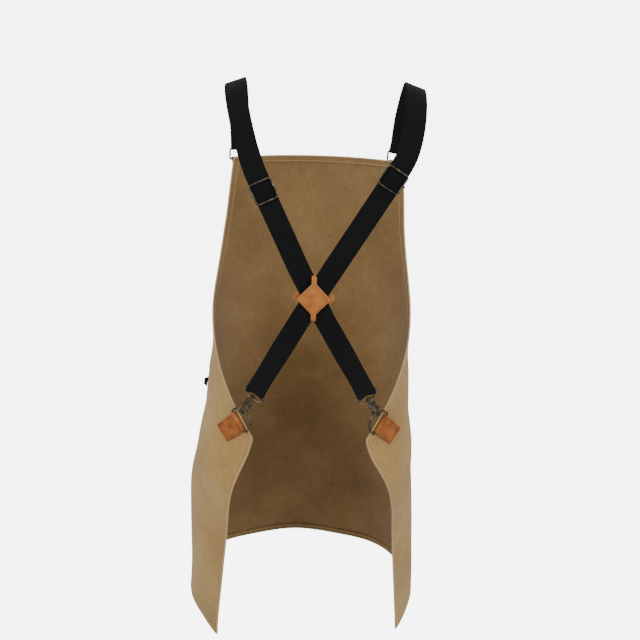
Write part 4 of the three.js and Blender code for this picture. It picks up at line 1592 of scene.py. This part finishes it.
@dataclass
class Fittings:
    """The metal of one side: ring, snap with its eye and gate, slider and front loop."""

    side: Side
    frame: dict
    wardrobe: Wardrobe
    ring_outer: float = 44 * MM
    ring_wire: float = 3.4 * MM
    bar_below: float = 5 * MM
    ring_corner: float = 3 * MM
    loop_inner: float = 34 * MM
    loop_height: float = 14 * MM
    loop_wire: float = 3 * MM
    slider_width: float = 36 * MM
    slider_height: float = 33 * MM
    slider_wire: float = 2.6 * MM

    def dressed(self, piece: bpy.types.Object, body: str, *nodes: str) -> None:
        """Dresses a metal piece in antique brass and hands it over."""
        dress(piece, self.wardrobe.brass)
        hand_over(piece, body, "antique_brass", *nodes)

    def ring(self) -> None:
        """Makes the D-shaped ring in the back tab."""
        node = f"back_ring_{self.side.word}"
        pivot, axis = hinge_of(self.frame, f"ring_hinge_{self.side.word}")
        axes = Axes.of(pivot, square_to(middle_of(node, self.frame) - pivot, axis), axis)
        radius, corner = (self.ring_outer - self.ring_wire) / 2, self.ring_corner
        reach = math.sqrt((radius - corner) ** 2 - (self.bar_below - corner) ** 2)
        join_at = math.atan2(reach, corner - self.bar_below)
        outline = [(0, y) for y in np.linspace(reach, -reach, 30)]
        outline += arc((corner, -reach), corner, math.pi, 2 * math.pi - join_at, 8)[1:]
        outline += arc((self.bar_below, 0), radius, -join_at, join_at, 90)[1:]
        outline += arc((corner, reach), corner, join_at, math.pi, 8)[1:-1]
        self.dressed(flat_wire(f"{node}_wire", outline, axes, self.ring_wire), node, node)

    def front_loop(self) -> None:
        """Makes the rectangular loop at the bib's corner."""
        node = f"front_loop_{self.side.word}"
        pivot, axis = hinge_of(self.frame, f"front_loop_hinge_{self.side.word}")
        toward = square_to(middle_of(node, self.frame) - pivot, axis)
        axes = Axes.of(pivot + toward * (self.loop_height + self.loop_wire) / 2, axis, toward)
        outline = rounded_rectangle(
            self.loop_inner + self.loop_wire, self.loop_height + self.loop_wire, 3 * MM
        )
        self.dressed(flat_wire(f"{node}_wire", outline, axes, self.loop_wire), node, node)

    def slider(self, strap: Strap) -> None:
        """Makes the slider's frame and the bar that hooks over its sides."""
        at = np.array([strap.slider_at])
        across, tangent = strap.across(at)[0], strap.tangent(at)[0]
        axes = Axes.of(strap.point(at)[0], across, tangent)
        rise = strap.thick / 2 + GAP + self.slider_wire / 2
        side_wire = (self.slider_width - self.slider_wire) / 2
        outline = rounded_rectangle(2 * side_wire, self.slider_height - self.slider_wire, 4 * MM)
        out = np.cross(tangent, across)
        lifted = Axes(axes.origin + out * rise, axes.x, axes.y, axes.z)
        node = f"slider_frame_{self.side.word}"
        self.dressed(flat_wire(f"{node}_wire", outline, lifted, self.slider_wire), node, node)

        turn = self.slider_wire + GAP
        low = strap.tail_depth
        half = [
            (side_wire + 0.5 * MM, low), (side_wire + turn - GAP, low - 1 * MM),
            (side_wire + turn, low - 3 * MM), (side_wire + turn, -rise),
            (side_wire + 0.75 * turn, -rise - 0.8 * turn), (side_wire, -rise - 1.1 * turn),
        ]
        middle = [(x * strap.width, low) for x in (-0.375, 0, 0.375)]
        ends = [(-x, y) for x, y in half][::-1] + middle + half
        eased = self._eased(np.array(ends))
        points = axes.origin + eased[:, :1] * axes.x - eased[:, 1:] * out
        node = f"slider_bar_{self.side.word}"
        self.dressed(wire(f"{node}_rod", points, self.slider_wire / 2, closed=False), node, node)

    @staticmethod
    def _eased(points: np.ndarray) -> np.ndarray:
        """Rounds a flat line's corners by averaging it along its length."""
        dense = resample(points, 0.35 * MM)
        reach = 3
        padded = np.vstack([[dense[0]] * reach, dense, [dense[-1]] * reach])
        window = np.ones(2 * reach + 1) / (2 * reach + 1)
        return np.column_stack([np.convolve(padded[:, k], window, "valid") for k in range(2)])

    def snap(self) -> None:
        """Makes the snap's eye, body, gate, pin and spring from their solids, with soft edges."""
        word = self.side.word
        for kind, voxel, rounds in (
            ("eye", 0.32 * MM, 3), ("body", 0.34 * MM, 5), ("gate", 0.26 * MM, 4),
        ):
            self._smooth_copy(f"snap_{kind}_{word}", voxel, rounds)
        pin = self._bevelled_copy(f"gate_pin_{word}", 0.15 * MM)
        self.dressed(pin, f"snap_body_{word}", f"gate_pin_{word}")
        self._spring(word)

    def _spring(self, word: str) -> None:
        """Makes the leaf spring from its CAD solid, baked in place and attached to no body."""
        node = f"gate_spring_{word}"
        spring = self._bevelled_copy(node, 0.12 * MM)
        dress(spring, self.wardrobe.brass)
        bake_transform(spring)
        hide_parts(node)

    def _copy(self, node: str, name: str) -> bpy.types.Object:
        """Copies a CAD node's mesh as a new piece with its doubles merged."""
        mesh = self.frame["nodes"][node].data.copy()
        mesh.name = name
        mesh.materials.clear()
        piece = bpy.data.objects.new(name, mesh)
        bpy.context.scene.collection.objects.link(piece)
        face_outward(piece)
        return piece

    def _smooth_copy(self, node: str, voxel: float, rounds: int) -> None:
        """Makes a cast piece from a CAD solid that is a body itself, with its edges worn round."""
        piece = self._copy(node, f"{node}_cast")
        apply_modifier(piece, "REMESH", mode="VOXEL", voxel_size=voxel, use_smooth_shade=True)
        apply_modifier(piece, "SMOOTH", factor=0.5, iterations=rounds)
        shade(piece, degrees=70)
        self.dressed(piece, node, node)

    def _bevelled_copy(self, node: str, width: float) -> bpy.types.Object:
        """Makes a small turned or cut piece from a CAD solid, with broken edges."""
        piece = self._copy(node, f"{node}_finished")
        apply_modifier(piece, "BEVEL", width=width, segments=2, limit_method="ANGLE")
        shade(piece, degrees=50)
        return piece

    def build(self, strap: Strap) -> None:
        """Makes all the metal of this side; the slider sits on the strap of the same name."""
        self.ring()
        self.front_loop()
        self.snap()
        self.slider(strap)


# ------------------------------------------------------------------ leather


@dataclass(frozen=True)
class TabPlan:
    """One kind of folded tab.

    It has the tab's, the hinge's and the held metal's names without their side, its width along the
    bar, the length of its sewn part and the height of the space in its fold.
    """

    tab: str
    hinge: str
    metal: str
    width: float
    flat: float
    hole: float
    slot_half: float = 0.6 * MM


@dataclass(frozen=True)
class PlatePlan:
    """One diamond of the cross patch: half its width and height, its thickness and its crown."""

    node: str
    half_width: float
    half_height: float
    thick: float
    crown: float
    stitch_inset: float


@dataclass
class LeatherWork:
    """The folded tabs at the bib's and the back's corners and the patch where the straps cross."""

    frame: dict
    drape: Drape
    wardrobe: Wardrobe
    thick: float = 1.8 * MM
    crossing: tuple[float, float, float] = (0, 0.120, -0.297)
    cover: float = 2.4 * MM
    tip: float = 4 * MM
    plate_edge: float = 0.7 * MM
    tabs: tuple[TabPlan, ...] = (
        TabPlan("back_tab", "ring_hinge", "back_ring", 33 * MM, 42 * MM, 4.4 * MM),
        TabPlan("front_tab", "front_loop_hinge", "front_loop", 30 * MM, 34 * MM, 4.0 * MM),
    )
    front: PlatePlan = PlatePlan(
        "cross_patch_front", 25.97 * MM, 27.5 * MM, 2.0 * MM, 0.5 * MM, 3.0 * MM
    )
    back: PlatePlan = PlatePlan(
        "cross_patch_back", 32.97 * MM, 38 * MM, 1.8 * MM, 0.0, 3.5 * MM
    )
    # The bridge's middle line in millimetres: how far from the patch's middle and off the straps.
    bridge_line: tuple[tuple[float, float], ...] = (
        (20.0, 3.6), (25.0, 3.5), (28.5, 3.6), (31.5, 3.4), (34.2, 1.4), (35.4, -0.8), (36.2, -2.4),
    )

    def build(self) -> None:
        """Makes every leather piece."""
        for side in Side:
            for plan in self.tabs:
                self._tab(plan, side)
        self._patch()

    def _tab(self, plan: TabPlan, side: Side) -> None:
        """Makes one tab: leather folded round a bar and sewn flat to the canvas."""
        node = f"{plan.tab}_{side.word}"
        pivot, axis = hinge_of(self.frame, f"{plan.hinge}_{side.word}")
        metal = middle_of(f"{plan.metal}_{side.word}", self.frame)
        toward = square_to(metal - pivot, axis)
        normal = np.cross(axis, toward)
        outside = self.drape.normal(*self._flat_place(pivot))[0]
        normal = normal if normal @ outside > 0 else -normal
        rise, depth = plan.hole / 2 + self.thick, plan.hole / 2 + plan.slot_half
        start = pivot - toward * depth - normal * rise

        half = self.thick / 2
        line = [(-plan.flat, half), (0.0, half)]
        line += arc((depth, rise), plan.hole / 2 + half, -math.pi / 2, math.pi * 0.78, 24)
        line += [(-1.6 * MM, 3 * half + 0.25 * MM), (-3.5 * MM, 3 * half), (-plan.flat, 3 * half)]
        middle = resample(np.array(line), 0.8 * MM)
        points = start + middle[:, :1] * toward + middle[:, 1:] * normal
        heading = unit(np.gradient(middle, axis=0))
        out = -heading[:, 1:] * toward + heading[:, :1] * normal
        across = repeated(axis, len(points))
        thick = self.thick * 0.97
        tab = ribbon(f"{node}_leather", points, across, out, plan.width, thick, 0.6 * MM)
        dress(tab, self.wardrobe.leather, self.wardrobe.cut_edge)
        self._mark_edges(tab, axis, pivot, plan.width / 2 - 0.5 * MM)
        hand_over(tab, "apron", "leather", node)
        self._tab_stitches(node, Axes(start, toward, axis, normal), plan)

    def _flat_place(self, point: np.ndarray) -> tuple[np.ndarray, np.ndarray]:
        """Gives a rough flat place of a point near the cloth, by its height and its side."""
        v = np.array([np.clip((self.drape.top - point[2]) / self.drape.drop, 0.01, 0.36)])
        half = self.drape.half_width(v)[0]
        return np.array([math.copysign(half - 5 * MM, point[0])]), v

    @staticmethod
    def _mark_edges(
        piece: bpy.types.Object, axis: np.ndarray, middle: np.ndarray, beyond: float
    ) -> None:
        """Gives the second material to faces that lie near the two cut sides."""
        for polygon in piece.data.polygons:
            off = abs(float((np.array(polygon.center) - middle) @ axis))
            facing = abs(float(np.array(polygon.normal) @ axis))
            polygon.material_index = 1 if off > beyond and facing > 0.5 else 0

    def _tab_stitches(self, node: str, axes: Axes, plan: TabPlan) -> None:
        """Sews a box of stitches round the flat part of a tab.

        Args:
            node: The tab's node.
            axes: The tab's own axes: toward its fold, along its bar and off the canvas.
            plan: The tab's sizes.
        """
        inset = 3 * MM
        half, height = plan.width / 2 - inset, 2 * self.thick + 0.05 * MM
        far, near = inset - plan.flat, -4 * MM
        corners = [(far, -half), (near, -half), (near, half), (far, half), (far, -half)]
        lines = []
        for first, last in zip(corners[:-1], corners[1:]):
            spots = np.linspace(first, last, 30)
            place = axes.place(np.column_stack([spots, np.full(len(spots), height)]))
            lines.append((place, repeated(axes.z, len(spots))))
        row = StitchRow(3.4 * MM, 2.5 * MM, 0.95 * MM)
        row.sew(f"{node}_stitches", lines, self.wardrobe.orange_thread, "leather")

    @staticmethod
    def _diamond(half_width: float, half_height: float, corner: float) -> np.ndarray:
        """Gives a diamond's outline with rounded corners."""
        tips = np.array([(half_width, 0), (0, half_height), (-half_width, 0), (0, -half_height)])
        points = []
        for index, tip in enumerate(tips):
            before, after = tips[index - 1], tips[(index + 1) % 4]
            enter = tip + unit(before - tip) * corner
            leave = tip + unit(after - tip) * corner
            t = np.linspace(0, 1, 9)[:, None]
            points.append((1 - t) ** 2 * enter + 2 * t * (1 - t) * tip + t**2 * leave)
        return np.vstack(points)

    def _plate(self, plan: PlatePlan, axes: Axes) -> None:
        """Makes a leather plate with rounded edges and a slightly raised middle."""
        outline = self._diamond(plan.half_width, plan.half_height, self.tip)
        outline = resample(outline, 1.2 * MM, closed=True)
        base, edge, thick, crown = self.cover, self.plate_edge, plan.thick, plan.crown
        reach = float(np.abs(outline).max())
        levels = [
            (1 - 0.5 * edge / reach, 0.0), (1.0, 0.5 * edge), (1.0, thick - edge),
            (1 - 0.35 * edge / reach, thick - 0.35 * edge), (1 - 1.1 * edge / reach, thick),
            (0.8, thick + 0.5 * crown), (0.5, thick + 0.85 * crown), (0.2, thick + crown),
        ]
        count = len(outline)
        rows = [np.column_stack([outline * scale, np.full(count, base + z)]) for scale, z in levels]
        points = axes.place(np.vstack(rows))
        piece = mesh_object(f"{plan.node}_leather", points, tube_faces(len(levels), count))
        face_outward(piece)
        shade(piece, degrees=45)
        dress(piece, self.wardrobe.patch, self.wardrobe.cut_edge)
        for polygon in piece.data.polygons:
            facing = abs(float(np.array(polygon.normal) @ axes.z))
            polygon.material_index = 1 if facing < 0.5 else 0
        hand_over(piece, "apron", "leather", plan.node)

    def _bridge(self, axes: Axes, sign: int) -> bpy.types.Object:
        """Makes the narrow bridge of leather from a tip of the front diamond to the back one."""
        flat = resample(np.array(self.bridge_line) * MM, 0.6 * MM)
        heading = unit(np.gradient(flat, axis=0))
        points = axes.origin + sign * flat[:, :1] * axes.y + flat[:, 1:] * axes.z
        out = heading[:, :1] * axes.z - sign * heading[:, 1:] * axes.y
        across = repeated(axes.x, len(points))
        name = f"cross_patch_bridge_{'top' if sign > 0 else 'low'}"
        bridge = ribbon(name, points, across, out, 7.8 * MM, 1.5 * MM, 0.6 * MM)
        dress(bridge, self.wardrobe.patch)
        return bridge

    def _patch(self) -> None:
        """Makes the two diamonds that hold the straps between them, and their bridges."""
        axes = Axes.of(self.crossing, (-1, 0, 0), (0, 0, 1))
        self._plate(self.front, axes)
        bridge = join([self._bridge(axes, sign) for sign in (1, -1)], "cross_patch_bridges")
        hand_over(bridge, "apron", "leather")
        self._plate(self.back, Axes(axes.origin, -axes.x, axes.y, -axes.z))
        lines = []
        for plan, facing in ((self.front, 1), (self.back, -1)):
            inset = 1.45 * plan.stitch_inset
            outline = self._diamond(plan.half_width - inset, plan.half_height - inset, 2.5 * MM)
            outline = np.vstack([outline, outline[:1]])
            height = self.cover + plan.thick + 0.2 * MM
            flat = np.column_stack([outline, np.full(len(outline), facing * height)])
            lines.append((axes.place(flat), repeated(axes.z * facing, len(outline))))
        row = StitchRow(3.2 * MM, 2.3 * MM, 0.7 * MM)
        row.sew("cross_patch_stitches", lines, self.wardrobe.orange_thread, "leather")


@dataclass
class HipLoop:
    """The short tape loop sewn to the panel at the wearer's left hip."""

    drape: Drape
    wardrobe: Wardrobe
    width: float = 11 * MM
    span: float = 26 * MM
    rise: float = 5 * MM
    thick: float = 1.0 * MM
    place: tuple[float, float] = (0.241, 0.372)

    def build(self) -> None:
        """Makes the loop, which lies flat at both ends and arches between them."""
        share = np.linspace(-0.5, 0.5, 40)
        seat = self.drape.thick / 2 + 0.5 * MM + self.thick / 2
        lift = seat + self.rise * np.cos(math.pi * np.clip(share * 1.25, -0.5, 0.5)) ** 2
        u = self.place[0] + share * self.span * 0.8
        v = np.full_like(u, self.place[1])
        base, normal = self.drape.bare(u, v), self.drape.normal(u, v)
        centres = base + normal * lift[:, None]
        down = unit(self.drape.bare(u, v + 2 * MM) - self.drape.bare(u, v - 2 * MM))
        heading = unit(np.gradient(centres, axis=0))
        down = square_to(down, heading)
        out = np.cross(down, heading)
        out *= np.sign(np.sum(out * normal, axis=1, keepdims=True))
        tape = ribbon("side_loop_tape", centres, down, out, self.width, self.thick, 0.5 * MM)
        dress(tape, self.wardrobe.webbing)
        hand_over(tape, "apron", "webbing", "side_loop")


# ------------------------------------------------------------------ the whole apron


def chain_of(frame: dict, side: Side) -> Axes:
    """Gives the axes of the strap's sewn end on one side of the back.

    Args:
        side: The side of the snap.

    Returns:
        The eye's bar, with x along the bar, y up the strap and z off the back.
    """
    pivot, across = hinge_of(frame, f"eye_tilt_{side.word}")
    axis = hinge_of(frame, f"snap_swivel_{side.word}")[1]
    across = across if across[0] > 0 else -across
    up = axis if axis[2] > 0 else -axis
    across = square_to(across, up)
    return Axes(pivot, across, up, np.cross(up, across))


def corner_of(frame: dict, side: Side, height: float = 17 * MM) -> Axes:
    """Gives the axes of the bib's corner, at the upper bar of its loop."""
    pivot, across = hinge_of(frame, f"front_loop_hinge_{side.word}")
    toward = square_to(middle_of(f"front_loop_{side.word}", frame) - pivot, across)
    normal = np.cross(across, toward)
    if normal[1] > 0:
        across, normal = -across, -normal
    return Axes(pivot + toward * height, across, toward, normal)


def main() -> None:
    """Builds the apron round its frame and the small studio that it is seen in."""
    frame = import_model()
    cad_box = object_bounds()
    LOG.info("CAD box %s", [list(corner) for corner in cad_box])
    wardrobe = Wardrobe()
    Studio(wardrobe.paper).build(cad_box[0][2])
    drape = Drape()
    CanvasBody(drape, wardrobe).build()
    routes = (
        StrapRoute(Side.LEFT, (0.077, 0.104, -0.141), (0.126, 0.015, 0.0028), 0.045),
        StrapRoute(Side.RIGHT, (-0.109, 0.100, -0.119), (-0.140, 0.015, 0.0028), 0.042),
    )
    for route in routes:
        chain, corner = chain_of(frame, route.side.other), corner_of(frame, route.side)
        strap = Strap(route, chain, corner, wardrobe)
        strap.build()
        Fittings(route.side, frame, wardrobe).build(strap)
    LeatherWork(frame, drape, wardrobe).build()
    HipLoop(drape, wardrobe).build()


if __name__ == "__main__":
    main()
